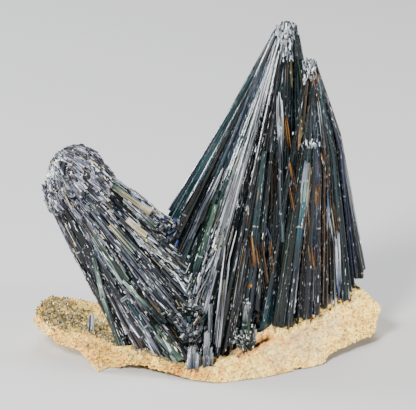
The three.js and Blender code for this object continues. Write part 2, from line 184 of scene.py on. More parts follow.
class Builder:
    def __init__(self):
        self.points = []
        self.faces = []
        self.tints = []
        self.grain = []
        self.wear_and_glints = []

    def corner(self, point, tint, grain, wear_and_glints, clean=1.0):
        self.points.append(point)
        self.tints.append((*tint, clean))
        self.grain.append(grain)
        self.wear_and_glints.append(wear_and_glints)

    def skin(self, base, rings, sides, capped=True):
        """Faces between rings of corners, the first of which is corner `base`."""
        for ring in range(rings - 1):
            for k in range(sides):
                near = base + ring * sides + k
                beside = base + ring * sides + (k + 1) % sides
                self.faces.append((near, near + sides, beside + sides, beside))
        if capped:
            last = base + (rings - 1) * sides
            self.faces.append(tuple(base + k for k in range(sides)))
            self.faces.append(tuple(last + k for k in reversed(range(sides))))

    def blade(self, start, end, out, width, thick, dice, tint, end_tint=None, roll=0.0,
              first=1.0, last=1.0, slant=0.0, jag=0.12, bow=0.0, share=(0.0, 1.0), breaks=1,
              ridges=5, steps=5, pale_end=0.0, lens=False, dust=0.0, wear_and_glints=1.0, zone=None):
        """A tapered prism from start to end; `first` and `last` scale its section.

        `bow` is how far its line stands out on the way, and `share` the part of that line
        that the blade covers.  A `lens` narrows to both ends.  `zone` gives, for a share of
        the line, a tint of the place, some of them painted glare and painted shade, and how much
        of it shows.  `wear_and_glints` is how much rough, broken edge, pale film and painted glint
        the blade has, and `dust` dulls it.
        """
        axis = (end - start).normalized()
        side = axis.cross(out).normalized()
        side.rotate(Matrix.Rotation(roll, 3, axis))
        face = side.cross(axis)
        outward = (out - axis * out.dot(axis)).normalized()
        length = (end - start).length
        section = ridged_section(dice, ridges) if ridges else PLAIN_SECTION
        stops = stops_along(length, steps, breaks, dice)
        base = len(self.points)
        sides = len(section)
        shift = dice.roll(0, 100)
        for row, (t, split, pale) in enumerate(stops):
            at_start, at_end = row == 0, row == len(stops) - 1
            scale = mix(first, last, t) * dice.roll(*SWELL)
            if lens:
                scale *= math.sqrt(math.sin(math.pi * mix(*LENS_RUN, t)))
            centre = start.lerp(end, t) + side * (dice.roll(-WANDER, WANDER) * width)
            centre += outward * (bow * bow_shape(mix(*share, t)))
            lean = slant * (1 if at_end else -0.5 if at_start else 0)
            pale = max(pale, pale_end if at_end else 0.0)
            shade = mix3(tint, end_tint or tint, t)
            if zone:
                local, amount = zone(mix(*share, t))
                shade = mix3(shade, local, amount)
            shade = mix3(shade, FRESH, pale)
            for k, (u, v) in enumerate(section):
                if v > PEEL_FROM:
                    v -= split
                x = u * width * scale
                p = centre + side * x + face * (v * thick * scale) + axis * (lean * x)
                if at_start or at_end:
                    p += axis * (jag * width * dice.roll(-1, 1))
                grain = (k * 2 * (width + thick) / sides, t * length, shift)
                self.corner(p, shade, grain, wear_and_glints, 1.0 - dust)
        self.skin(base, len(stops), sides)

    def core(self, tops, bottoms, tint):
        """A dark solid under the blades, so that no light shows between them."""
        base = len(self.points)
        for p in (*tops, *bottoms):
            self.corner(p, tint, tuple(p), 0.0)
        self.skin(base, 2, len(tops))

    def lump(self, centre, radii, tint, rough, rows, around):
        """A rounded, knobbly core."""
        base = len(self.points)
        for row in range(rows + 1):
            polar = math.pi * row / rows
            for k in range(around):
                turn = 2 * math.pi * k / around
                unit = Vector((math.sin(polar) * math.cos(turn), math.sin(polar) * math.sin(turn),
                               math.cos(polar)))
                push = 1 + rough * noise.noise(unit * KNOBS)
                self.corner(centre + Vector(u * r * push for u, r in zip(unit, radii)), tint,
                            (turn * radii[0], polar * radii[2], 0.0), 1.0)
        self.skin(base, rows + 1, around, capped=False)

    def object(self, name, material):
        made = mesh_object(name, self.points, self.faces, material)
        write_layer(made.data, "tint", "FLOAT_COLOR", "color", self.tints)
        write_layer(made.data, "grain", "FLOAT_VECTOR", "vector", self.grain)
        write_layer(made.data, "wear_and_glints", "FLOAT", "value", self.wear_and_glints)
        return made


# %% [markdown]
# ## The crystal finish
# A blade is nearly black in itself, with green, blue and brown showing through, and has a
# glassy face.  Fine ridges run along it.  The material reads the tint carried by each blade
# and the place along and across it, so the ridges always follow the blade.  Noise in the
# object's own space would be simpler, but its streaks would run through one blade into the
# next.


# %% Material helpers
def new_material(name):
    material = bpy.data.materials.new(name)
    material.use_nodes = True
    tree = material.node_tree
    tree.nodes.clear()
    shader = tree.nodes.new("ShaderNodeBsdfPrincipled")
    output = tree.nodes.new("ShaderNodeOutputMaterial")
    tree.links.new(shader.outputs[0], output.inputs[0])
    return material, tree, shader


def fill(tree, made, links):
    """Fill the inputs of a node: a socket is linked, and a plain value is set."""
    for key, value in links.items():
        socket = made.inputs[key]
        if isinstance(value, bpy.types.NodeSocket):
            tree.links.new(value, socket)
        else:
            socket.default_value = value


def node(tree, kind, links=None, **settings):
    """A node with its plain settings, and its inputs filled from `links`."""
    made = tree.nodes.new("ShaderNode" + kind)
    for key, value in settings.items():
        setattr(made, key, value)
    fill(tree, made, links or {})
    return made


def ramp(tree, factor, stops):
    """A colour ramp over (place, colour) stops; a colour may be one number."""
    made = tree.nodes.new("ShaderNodeValToRGB")
    band = made.color_ramp
    while len(band.elements) < len(stops):
        band.elements.new(0.5)
    for element, (place, colour) in zip(band.elements, stops):
        element.position = place
        element.color = (*colour, 1) if isinstance(colour, tuple) else (colour, colour, colour, 1)
    tree.links.new(factor, made.inputs[0])
    return made.outputs[0]


# A Mix node has sockets for every kind of data.  These are the ones for colours.
MIX_FACTOR, MIX_A, MIX_B, MIX_RESULT = 0, 6, 7, 2


def blend(tree, factor, a, b):
    """Colour a where the factor is 0, and colour b where it is 1."""
    inputs = {socket: (*value, 1) if isinstance(value, tuple) else value
              for socket, value in ((MIX_FACTOR, factor), (MIX_A, a), (MIX_B, b))}
    return node(tree, "Mix", inputs, data_type="RGBA").outputs[MIX_RESULT]


def rise(tree, factor, low, high, least=0.0, most=1.0):
    """From least to most, as the factor goes from low to high."""
    return ramp(tree, factor, [(low, least), (high, most)])


def bump(tree, height, strength, distance, under=None):
    """A bumpy normal, laid over another one if that is given."""
    links = {"Height": height, "Strength": strength, "Distance": distance}
    return node(tree, "Bump", {**links, "Normal": under} if under else links).outputs[0]


def cloud(tree, scale, detail=4.0, rough=0.55):
    """Noise in the object's own space."""
    place = node(tree, "TexCoord").outputs["Object"]
    return node(tree, "TexNoise", {"Vector": place, "Scale": scale, "Detail": detail,
                                   "Roughness": rough}).outputs["Fac"]


# %% The blade material
DEEP = (0.001, 0.002, 0.002)
# Painted shade in the valleys between the fine ridges.
PAINTED_GROOVE_SHADE = (0.002, 0.003, 0.003)
GLOW = (0.36, 0.15, 0.02)  # light that comes through a blade
# A painted glint: white flecks that stand in for light caught by tiny facets.
PAINTED_GLINT = (0.85, 0.87, 0.90)
DUSTY = (0.6, 0.6, 0.6)  # how rough a dusty blade is


def crystal_material(name, film_colour, film, glow, extra_glints=0.0):
    """`film` is how much pale film lies on the blades, `glow` how much orange shows in them
    and `extra_glints` how much more of them than usual carries painted glints."""
    material, tree, shader = new_material(name)
    tint_node = node(tree, "Attribute", attribute_name="tint")
    tint = tint_node.outputs["Color"]
    clean = tint_node.outputs["Alpha"]
    grain = node(tree, "Attribute", attribute_name="grain").outputs["Vector"]
    wear_and_glints = node(tree, "Attribute", attribute_name="wear_and_glints").outputs["Fac"]

    def streaks(across, length, detail=2.0, rough=0.6):
        """Noise drawn out along the blade: so many changes per millimetre each way."""
        place = node(tree, "Mapping", {"Vector": grain, "Scale": (across, length, 1.0)})
        return node(tree, "TexNoise", {"Vector": place.outputs[0], "Scale": 1.0,
                                       "Detail": detail, "Roughness": rough}).outputs["Fac"]

    def times(a, b):
        return node(tree, "Math", {0: a, 1: b}, operation="MULTIPLY").outputs[0]

    broad = streaks(0.5, 0.06)
    lines = streaks(1.4, 0.05, 2.5)
    chips = streaks(1.9, 0.45, 1.5, 0.5)
    patches = streaks(0.35, 0.10)
    veins = streaks(0.9, 0.07, 1.0)
    rungs = streaks(0.3, 3.0, 1.0)
    colour = blend(tree, rise(tree, broad, 0.38, 0.62, 0.3), DEEP, tint)
    # Darker where the ridges' bump is low: painted shade in their valleys.
    colour = blend(tree, rise(tree, lines, 0.44, 0.53, 0.05), PAINTED_GROOVE_SHADE, colour)
    colour = blend(tree, rise(tree, veins, 0.70, 0.76, 0.0, glow), colour, GLOW)
    film_here = times(rise(tree, patches, 0.56, 0.62), wear_and_glints)
    film_mask = times(rise(tree, lines, 0.63, 0.68, 0.0, film), film_here)
    colour = blend(tree, film_mask, colour, film_colour)
    # Painted glints: where the chips noise is high, white flecks stand in for light caught by small
    # facets.  The same noise makes those places rougher and bumpy.
    glints_here = times(rise(tree, patches, 0.45, 0.58), wear_and_glints)
    painted_glint_mask = times(rise(tree, chips, 0.66 - extra_glints, 0.72 - extra_glints), glints_here)
    colour = blend(tree, painted_glint_mask, colour, PAINTED_GLINT)
    rough = ramp(tree, chips, [(0.35, 0.07), (0.62, 0.2), (0.72, 0.5)])
    ridges = bump(tree, times(lines, wear_and_glints), 0.5, 0.0002)
    ladder = bump(tree, rungs, 0.12, 0.0002, ridges)
    fill(tree, shader, {
        "Base Color": colour,
        "Roughness": blend(tree, clean, DUSTY, rough),
        "IOR": 1.55,
        "Specular IOR Level": 0.3,
        "Coat Weight": 0.08,
        "Coat Roughness": 0.06,
        "Normal": bump(tree, times(chips, wear_and_glints), 0.5, 0.0003, ladder),
    })
    return material


tall_finish = crystal_material("tall_blades", (0.52, 0.56, 0.62), 0.6, 0.38)
leaning_finish = crystal_material("leaning_blades", (0.66, 0.60, 0.46), 0.95, 0.25, 0.03)
pale_finish = crystal_material("pale_blades", (0.5, 0.5, 0.45), 0.8, 0.0)

# %% [markdown]
# ## The tall spray
# The blades fan out from a peak like the ribs of a shuttlecock.  The run of foot points
# below goes round the spray, and each row says where a blade there stands and what share
# of the way it reaches.  A second, lower peak leans on the first from the right.  A few
# blades could be modelled by hand and copied, but copies are easy to spot.  So one function
# draws every blade's place, width, depth and tint, and bundles of a few neighbours share a
# depth and a tint, as the real ones do.

# %% Where the tall spray stands
MAIN_PEAK = Vector((21.3, -3.0, 89.7))
SECOND_PEAK = Vector((26.2, -6.0, 80.6))
SHOULDER = MAIN_PEAK - Vector((1.4, 0.0, 1.2))  # the peak is blunt on its left
TALL_HEART = (16.0, -3.0)
# Rows of x, y, z, the share of the way that a blade reaches, and how far it bows out.  The
# share is 1 and the bow is 0 where a row leaves them out.
MAIN_FOOT = [
    (2, 17, 5, 1.0), (-9, 14, 6, 0.9), (-19, 8, 9, 0.72), (-26, -2, 8, 0.63),
    (-20, -11, 8, 0.74), (-12, -18, 5, 0.86), (-5, -23, 2.5, 1.0), (1.5, -24.6, 2.2, 1.0),
    (7, -17.4, 4.2, 1.0), (11, -13, 5.4, 0.93), (20, -9, 6, 1.0), (31, -5, 8, 1.0),
    (41, 2, 10, 1.0), (37, 13, 8, 1.0), (28, 20, 6, 1.0), (15, 21, 5, 1.0), (2, 17, 5, 1.0),
]
SECOND_FOOT = [
    (14.5, -11.8, 6.5, 1.0, 0.3), (20, -12, 8, 1.0, 0.6), (27, -9, 9, 1.0, 1.2),
    (34, -5, 11, 1.0, 1.8), (38.5, -1, 13, 1.0, 2.2), (41.5, 5, 13, 0.92, 2.4),
    (40.5, 11, 11, 0.95, 2.2), (34.5, 17, 9, 1.0, 1.6), (26, 20, 6, 1.0, 1.0),
]


def foot_point(foot, t):
    """x, y, z, reach and bow at share t round a foot."""
    place = along(foot, t)
    return (*place, 1.0, 0.0) if len(place) == 3 else (*place, 0.0)[:5]


def run_length(foot):
    return sum(math.dist(a[:3], b[:3]) for a, b in zip(foot, foot[1:]))


def way_out(x, y):
    """The level direction from the heart of the tall spray."""
    return Vector((x - TALL_HEART[0], y - TALL_HEART[1], 0)).normalized()


def between(heart, x, y, z, share):
    """A point that stands a share of the way from a heart to a foot point."""
    return Vector((mix(heart[0], x, share), mix(heart[1], y, share), z))


# %% Tints: what shows through a blade
BLACK = (0.004, 0.006, 0.007)
TEAL = (0.008, 0.032, 0.040)
NAVY = (0.007, 0.013, 0.042)
ROYAL = (0.012, 0.032, 0.110)
GREEN = (0.020, 0.048, 0.032)
MINT = (0.22, 0.31, 0.26)
CREAM = (0.50, 0.42, 0.25)
BROWN = (0.10, 0.045, 0.012)
ORANGE = GLOW
PALE_BLUE = (0.10, 0.15, 0.23)
GREY = (0.09, 0.10, 0.12)
SILVER = (0.36, 0.39, 0.43)
LILAC = (0.12, 0.12, 0.155)
WHITE = (0.80, 0.85, 0.90)
FRESH_GREEN = (0.030, 0.085, 0.048)
DARK_TEAL = (0.014, 0.034, 0.036)
OLIVE = (0.11, 0.10, 0.03)
PALE_GREEN = (0.09, 0.15, 0.11)
# Painted shade for the crease between the two peaks.
PAINTED_CREASE_SHADE = lighten(BLACK, 0.5)
GLARING = lighten(WHITE, 1.2)

# %% Bundles
NEW_TINT = 0.3  # how often a blade within a bundle takes a tint of its own
WIDTHS = (0.45, 1.6)  # most blades are slim and a few are broad
SHADES = (0.6, 1.4)
SLANT = 0.45


def bundles(count, dice, depth, turn):
    """For every blade: how deep its bundle lies, its turn and lean, and whether it starts one."""
    rows = []
    while len(rows) < count:
        size = int(dice.roll(2, 6))
        deep = depth * dice.roll() ** 1.5
        roll = turn * dice.roll(-1, 1)
        lean = dice.roll(-1, 1)
        for k in range(size):
            middle = math.sin(math.pi * (k + 0.5) / size)
            rows.append((deep + 0.35 * depth * (1 - middle),
                         roll + 0.5 * turn * (0.5 - (k + 0.5) / size), lean, k == 0))
    return rows[:count]


def tints_at(palette, t):
    """The weighted tints at share t round a foot: a palette's rows start with where they end."""
    return next((tints for end, tints in palette if t < end), palette[-1][1])


def next_tint(dice, tint, starts, palette, t):
    """The tint of a bundle, or a new one."""
    return dice.pick(tints_at(palette, t)) if starts or dice.roll() < NEW_TINT else tint


def blade_width(dice, usual):
    return usual * mix(*WIDTHS, dice.roll() ** 1.5)


def zone_of(zones, t, dice):
    """What tints a blade at t round the foot: a function of the share of its line."""
    near = []
    for t0, t1, s0, s1, tint, amount in zones:
        if t0 < t < t1:
            near.append((s0 + dice.roll(-0.06, 0.06), s1 + dice.roll(-0.12, 0.08), tint,
                         min(1.0, amount * dice.roll(0.2, 1.0))))

    def zone(share):
        for s0, s1, tint, amount in near:
            if s0 < share < s1:
                return tint, amount
        return BLACK, 0.0

    return zone if near else None


# %% A fan of blades
NARROWEST = 0.24  # of a blade's full width, at the peak


def fan(build, peak, radius, foot, count, inset, width, seed, palette, zones=(), shortest=0.06,
        latest=0.12, turn=0.4, depth=0.15, breaks=2, ridges=5, span=(0.0, 1.0), pale_end=0.0,
        facing=0.0, wear_and_glints=1.0):
    """Blades from a peak to a run of foot points, in bundles that share depth, turn and tint.

    `latest` is the largest share of its line at which a blade starts, `shortest` the most
    that it may lack at its end, and `span` the part of the foot that the fan covers.
    """
    dice = Dice(seed)
    spacing = run_length(foot) * (span[1] - span[0]) / count
    tint = None
    for i, (deep, roll, lean, starts) in enumerate(bundles(count, dice, depth, turn)):
        t = mix(*span, (i + 0.5 + dice.roll(-0.4, 0.4)) / count)
        x, y, z, reach, bow = foot_point(foot, t)
        push = inset * (1 - deep + dice.roll(-0.012, 0.012))
        base = between(TALL_HEART, x, y, z, push)
        out = way_out(x, y)
        spread = dice.roll()
        top = peak + out * radius * mix(0.35, 1.1, spread)
        sideways = Vector((0, 0, 1)).cross(out) * lean
        top += sideways * (0.5 * radius)
        base -= sideways * 1.3
        top.z -= radius * (0.9 * spread * spread + dice.roll(0, 0.25))
        first = latest * dice.roll() * dice.roll()
        last = max(reach * (1 - shortest * dice.roll()), first + 0.06)
        wide = blade_width(dice, spacing * width)
        tint = next_tint(dice, tint, starts, palette, t)
        build.blade(top.lerp(base, first), top.lerp(base, last), out, wide,
                    wide * dice.roll(0.45, 0.8), dice, lighten(tint, dice.roll(*SHADES)),
                    roll=facing + roll + dice.roll(-0.06, 0.06), first=mix(NARROWEST, 1, first),
                    last=mix(NARROWEST, 1, last), slant=dice.roll(-SLANT, SLANT), bow=bow,
                    share=(first, last), breaks=int(dice.roll(0, breaks + 0.99)), ridges=ridges,
                    pale_end=pale_end * dice.roll(), wear_and_glints=wear_and_glints, zone=zone_of(zones, t, dice))


def fan_core(build, peak, foot, inset):
    tops, bottoms = [], []
    for x, y, z, reach, *_ in foot[:-1] if foot[0] == foot[-1] else foot:
        tops.append(peak + way_out(x, y) * 0.8 - Vector((0, 0, 2)))
        bottoms.append(tops[-1].lerp(between(TALL_HEART, x, y, z, inset), reach))
    build.core(tops, bottoms, BLACK)


# %% Flakes
HALF_LENGTHS = (0.3, 2.8)  # millimetres
FLAKE_WIDTHS = (0.12, 0.55)


def flakes(build, peak, foot, count, seed, palette, span=(0.0, 1.0), heart=None, start=0.03,
           end=1.0, inset=(0.94, 1.0), size=1.0, bulge=0.0):
    """Short splinters that lie along the blades, where layers have flaked off.

    `start` and `end` are shares of a line, and `bulge` is how much further than the blades
    the splinters bow out.
    """
    dice = Dice(seed)
    heart = heart or Vector((*TALL_HEART, 0))
    for _ in range(count):
        t = mix(*span, dice.roll()) % 1
        x, y, z, reach, bow = foot_point(foot, t)
        push = mix(*inset, dice.roll())
        level = heart.z or z  # the tall spray's heart is at every height
        base = between(heart, x, y, mix(level, z, push), push)
        share = mix(start, reach * end, dice.roll())
        axis = (base - peak).normalized()
        out = Vector((x - heart.x, y - heart.y, 0.3 * (z - level))).normalized()
        out = (out - axis * out.dot(axis)).normalized()
        place = peak.lerp(base, share) + out * ((bow + bulge) * bow_shape(share))
        swing = axis.cross(out) * dice.roll(-0.25, 0.25) + out * dice.roll(-0.1, 0.1)
        half = (axis + swing).normalized() * (size * mix(*HALF_LENGTHS, dice.roll() ** 2.5))
        wide = size * dice.roll(*FLAKE_WIDTHS)
        build.blade(place - half, place + half, out, wide, wide * dice.roll(0.3, 0.8), dice,
                    lighten(dice.pick(tints_at(palette, t)), dice.roll(0.7, 1.5)),
                    roll=dice.roll(-0.8, 0.8), slant=dice.roll(-0.6, 0.6), breaks=0, ridges=0,
                    steps=1)


# %% Colours round the tall spray
# Each row says where round the foot it ends, and the weights of its tints.
MAIN_TINTS = [
    (0.20, [(4, NAVY), (3, TEAL), (2, BLACK), (1, ROYAL)]),
    (0.29, [(2, PALE_BLUE), (3, NAVY), (2, GREY), (0.5, SILVER), (2, TEAL)]),
    (0.37, [(1, SILVER), (2, PALE_BLUE), (2, GREY), (1, GREEN), (3, BLACK), (1, TEAL)]),
    (0.43, [(3, GREY), (1, SILVER), (4, BLACK), (1, TEAL)]),
    (0.54, [(4, BLACK), (1, GREY), (1, BROWN), (1, GREEN)]),
    (1, [(5, BLACK), (3, TEAL), (2, NAVY), (1, BROWN), (1, GREEN), (1, GREY)]),
]
SECOND_TINTS = [(1, [(4, BLACK), (5, TEAL), (2, NAVY), (0.4, ROYAL), (0.6, BROWN), (1, GREEN),
                     (1, GREY)])]
INNER_TINTS = [(1, [(6, BLACK), (2, BROWN), (2, TEAL), (0.4, ORANGE), (1, NAVY)])]
EDGE_TINTS = [(1, [(4, NAVY), (2, TEAL), (3, BLACK)])]
SHOULDER_TINTS = [(1, [(2, DARK_TEAL), (2, GREY), (1, PALE_BLUE), (1, NAVY), (1, LILAC),
                       (2, BLACK)])]
# The white and silver splinters are partly a painted sparkle.
SPLINTER_AND_SPARKLE_TINTS = [
    (0.44, [(3, SILVER), (2, WHITE), (1, GREY), (3, BLACK), (2, PALE_BLUE), (0.5, CREAM)]),
    (1, [(1.5, SILVER), (1, WHITE), (2, GREY), (6, BLACK), (1, PALE_BLUE), (0.4, ORANGE),
         (0.3, CREAM)]),
]
CRUSHED_TINTS = [(1, [(2, lighten(CREAM, 1.3)), (3, SILVER), (4, WHITE), (2, BLACK),
                      (1, PALE_BLUE)])]
# Where the main blades are tinted: from and to round the foot, from and to along a blade.
MAIN_ZONES = [
    # Painted glare on the left flank.
    (0.33, 0.385, 0.02, 0.60, WHITE, 0.9),
    # A painted pale-blue reflection on the upper left flank.
    (0.285, 0.325, 0.05, 0.48, PALE_BLUE, 0.8),
    (0.305, 0.345, 0.50, 0.76, FRESH_GREEN, 0.9),
    (0.33, 0.37, 0.64, 0.92, SILVER, 0.7),
    (0.215, 0.275, 0.50, 1.00, ROYAL, 0.12),
    (0.15, 0.30, 0.00, 0.17, WHITE, 0.8),
    # Painted shade in the crease right of the front ridge, between the two peaks.
    (0.43, 0.60, 0.16, 1.00, PAINTED_CREASE_SHADE, 3.0),
    (0.28, 0.62, 0.00, 0.12, GLARING, 1.0),
]
SECOND_ZONES = [
    (0.0, 1.0, 0.0, 0.09, WHITE, 0.8),
    # Painted shade in the same crease, where the second peak meets the main one.
    (0.00, 0.16, 0.12, 1.00, PAINTED_CREASE_SHADE, 3.0),
    (0.25, 0.50, 0.55, 1.00, BLACK, 1.2),
]

# %% Build the tall spray
tall = Builder()
fan_core(tall, MAIN_PEAK, MAIN_FOOT, 0.84)
fan_core(tall, SECOND_PEAK, SECOND_FOOT, 0.86)
fan(tall, MAIN_PEAK, 1.7, MAIN_FOOT, 84, 0.89, 1.5, 3, INNER_TINTS, ridges=3, depth=0.03)
fan(tall, MAIN_PEAK, 2.2, MAIN_FOOT, 76, 0.99, 1.3, 11, MAIN_TINTS, MAIN_ZONES, ridges=4)
fan(tall, MAIN_PEAK, 2.4, MAIN_FOOT, 84, 1.01, 0.85, 12, MAIN_TINTS, MAIN_ZONES, shortest=0.35,
    latest=0.6, ridges=4)
fan(tall, MAIN_PEAK, 2.2, MAIN_FOOT, 8, 1.04, 1.6, 14, EDGE_TINTS, turn=0.1, depth=0.02,
    breaks=0, span=(0.17, 0.28), facing=0.15, wear_and_glints=0.12)
fan(tall, SHOULDER, 2.3, MAIN_FOOT, 16, 1.0, 1.2, 17, SHOULDER_TINTS, MAIN_ZONES, turn=0.3,
    latest=0.02, span=(0.15, 0.305), ridges=4, wear_and_glints=0.5)
flakes(tall, MAIN_PEAK, MAIN_FOOT, 900, 13, SPLINTER_AND_SPARKLE_TINTS, span=(0.28, 0.62), bulge=1.0)
flakes(tall, MAIN_PEAK, MAIN_FOOT, 120, 18, SPLINTER_AND_SPARKLE_TINTS, span=(0.25, 0.32), start=0.4,
       size=0.9, bulge=1.0)
flakes(tall, MAIN_PEAK, MAIN_FOOT, 420, 16, CRUSHED_TINTS, span=(0.31, 0.385), start=0.6,
       end=0.97, inset=(0.99, 1.03), size=0.85, bulge=1.0)
flakes(tall, MAIN_PEAK, MAIN_FOOT, 400, 15, SPLINTER_AND_SPARKLE_TINTS, span=(0.6, 1.18), bulge=1.0)
fan(tall, SECOND_PEAK, 1.9, SECOND_FOOT, 46, 0.91, 1.5, 30, INNER_TINTS, ridges=3, depth=0.03)
fan(tall, SECOND_PEAK, 2.3, SECOND_FOOT, 38, 1.0, 1.6, 31, SECOND_TINTS, SECOND_ZONES,
    shortest=0.04, ridges=4, turn=0.65)
fan(tall, SECOND_PEAK, 2.5, SECOND_FOOT, 46, 1.0, 0.85, 32, SECOND_TINTS, SECOND_ZONES,
    shortest=0.35, latest=0.6, ridges=4, turn=0.65)
fan(tall, SECOND_PEAK, 2.3, SECOND_FOOT, 9, 1.04, 1.3, 36, SECOND_TINTS, turn=0.2, depth=0.02,
    breaks=1, span=(0.42, 0.8), shortest=0.03)
fan(tall, SECOND_PEAK, 2.6, SECOND_FOOT, 22, 1.03, 0.8, 33, SECOND_TINTS, shortest=0.1,
    latest=0.1, span=(0.1, 0.5), pale_end=1.0, depth=0.04)
flakes(tall, SECOND_PEAK, SECOND_FOOT, 500, 34, SPLINTER_AND_SPARKLE_TINTS)
print("fans and flakes:", len(tall.faces), "faces")

# %% [markdown]
# ## Blades that stand out
# On the real specimen some blades catch the eye: they are wider, paler or clearer than the
# rest, and lie on top of them.  Listed places alone would leave them hanging in the air,
# because the scattered blades below are rough.  So each one is moved along the line of sight
# until it lies on the mesh that is there already.

# %% Lay a blade on the others
ELEVATION = math.radians(20)  # of the viewer above the table
LOOK = Vector((0, math.cos(ELEVATION), -math.sin(ELEVATION)))
FAR = 60.0
PROBES = 9


def laid_on(tree, start, end, proud):
    """The line from start to end, moved along LOOK until it lies just in front of the mesh."""
    start, end = Vector(start), Vector(end)
    shares, depths = [], []
    for share in np.linspace(0.05, 0.95, PROBES):
        eye = start.lerp(end, share) - LOOK * FAR
        hit = tree.ray_cast(eye, LOOK)[0]
        if hit:
            shares.append(share)
            depths.append((hit - eye).length - FAR)
    if len(shares) < 3:
        return start, end
    slope, at_start = np.polyfit(shares, depths, 1)
    return start + LOOK * (at_start - proud), end + LOOK * (at_start + slope - proud)


# %% Single blades on the tall spray
FRONT = Vector((0.1, -1, 0.25)).normalized()
BLADE_PROUD = 0.5  # millimetres in front of the others
INK = lighten(BLACK, 0.4)
single_dice = Dice(19)
tall_tree = BVHTree.FromPolygons(tall.points, tall.faces)
for start, end, wide, tint, end_tint, tapered in (
    # The first blade, all white, is a painted highlight streak.
    ((19.0, -7.2, 71.8), (19.5, -9.6, 59.6), 1.5, WHITE, WHITE, True),
    ((19.4, -9.0, 61.5), (19.9, -12.8, 33.0), 1.5, GREY, DARK_TEAL, False),
    ((-1.5, -9.0, 47.0), (-9.0, -12.0, 33.0), 1.8, INK, INK, False),
    ((1.4, -10.4, 42.0), (-3.9, -15.2, 25.8), 1.0, FRESH_GREEN, FRESH_GREEN, False),
    ((2.9, -11.0, 42.6), (-2.4, -16.2, 26.4), 1.6, PALE_GREEN, DARK_TEAL, False),
    ((26.4, -10.6, 54.0), (25.0, -12.4, 40.0), 1.7, GREY, MINT, False),
    ((25.3, -12.4, 44.0), (23.3, -13.9, 26.0), 1.6, lighten(TEAL, 1.8), TEAL, False),
    ((21.9, -5.8, 80.0), (22.4, -6.8, 73.0), 0.9, OLIVE, OLIVE, True),
    ((24.8, -8.8, 66.0), (24.0, -10.0, 57.0), 0.9, OLIVE, BROWN, True),
    ((15.2, -10.6, 57.0), (12.6, -15.3, 35.6), 1.7, DARK_TEAL, TEAL, False),
    ((17.0, -11.0, 57.0), (14.8, -15.0, 36.4), 1.3, BLACK, DARK_TEAL, False),
    ((34.5, -8.2, 33.2), (35.2, -9.0, 15.6), 1.1, SILVER, ROYAL, True),
    ((31.8, -9.6, 47.0), (32.4, -10.4, 36.0), 0.6, ROYAL, PALE_BLUE, True),
    ((15.6, -12.6, 37.4), (17.4, -13.2, 33.0), 0.7, ROYAL, PALE_BLUE, True),
):
    tall.blade(*laid_on(tall_tree, start, end, BLADE_PROUD), FRONT, wide, wide * 0.7,
               single_dice, tint, end_tint, breaks=0 if tapered else 1,
               first=1.0 if tapered else 0.8, lens=tapered)
print("with the single blades:", len(tall.faces), "faces")

# %% Blades that have split into slivers
# Clear ones look golden where light shines through them, and on split ones a glare is painted
# white.
GOLD = [(3, ORANGE), (3, BROWN), (1, lighten(CREAM, 0.7)), (1, BLACK)]
PAINTED_GLARE = [(3, WHITE), (2, SILVER), (1, MINT), (1, lighten(CREAM, 1.2)), (1, BLACK)]
STREAKED = [(3, SILVER), (2, lighten(CREAM, 1.1)), (1, WHITE), (3, BLACK), (1, GREY)]
MOTTLED = [(3, GREY), (3, PALE_BLUE), (2, SILVER), (1, BLACK), (1, BROWN)]
GOLDEN_LINES = [
    ((17.8, -10.6, 55.5), (17.7, -11.8, 42.2), 1.0),
    ((22.0, -10.4, 53.9), (23.5, -11.2, 46.0), 0.8),
    ((21.7, -11.0, 47.1), (23.0, -11.8, 40.5), 0.9),
    ((11.5, -15.0, 35.8), (12.6, -16.0, 26.7), 1.0),
    ((13.9, -14.2, 33.4), (16.0, -15.0, 19.9), 1.5),
    ((17.0, -13.6, 32.7), (17.5, -13.8, 24.3), 0.6),
    ((26.4, -12.2, 41.8), (26.7, -12.8, 35.0), 0.9),
    ((27.2, -12.2, 32.3), (28.0, -12.6, 26.7), 0.9),
    ((30.1, -9.4, 57.5), (30.9, -9.8, 53.9), 0.7),
    ((29.0, -10.6, 49.4), (29.3, -11.2, 43.3), 1.0),
    ((33.4, -8.6, 42.0), (34.6, -9.2, 34.0), 0.8),
    ((27.8, -8.8, 77.4), (28.3, -9.2, 74.6), 0.9),
    ((20.6, -9.8, 66.0), (21.8, -10.6, 57.0), 0.8),
]
SLIVERS = 4
SLIVER_PROUD = 0.6  # millimetres
SLIVER_STEP = 0.36  # from one to the next, as a share of the blade's width
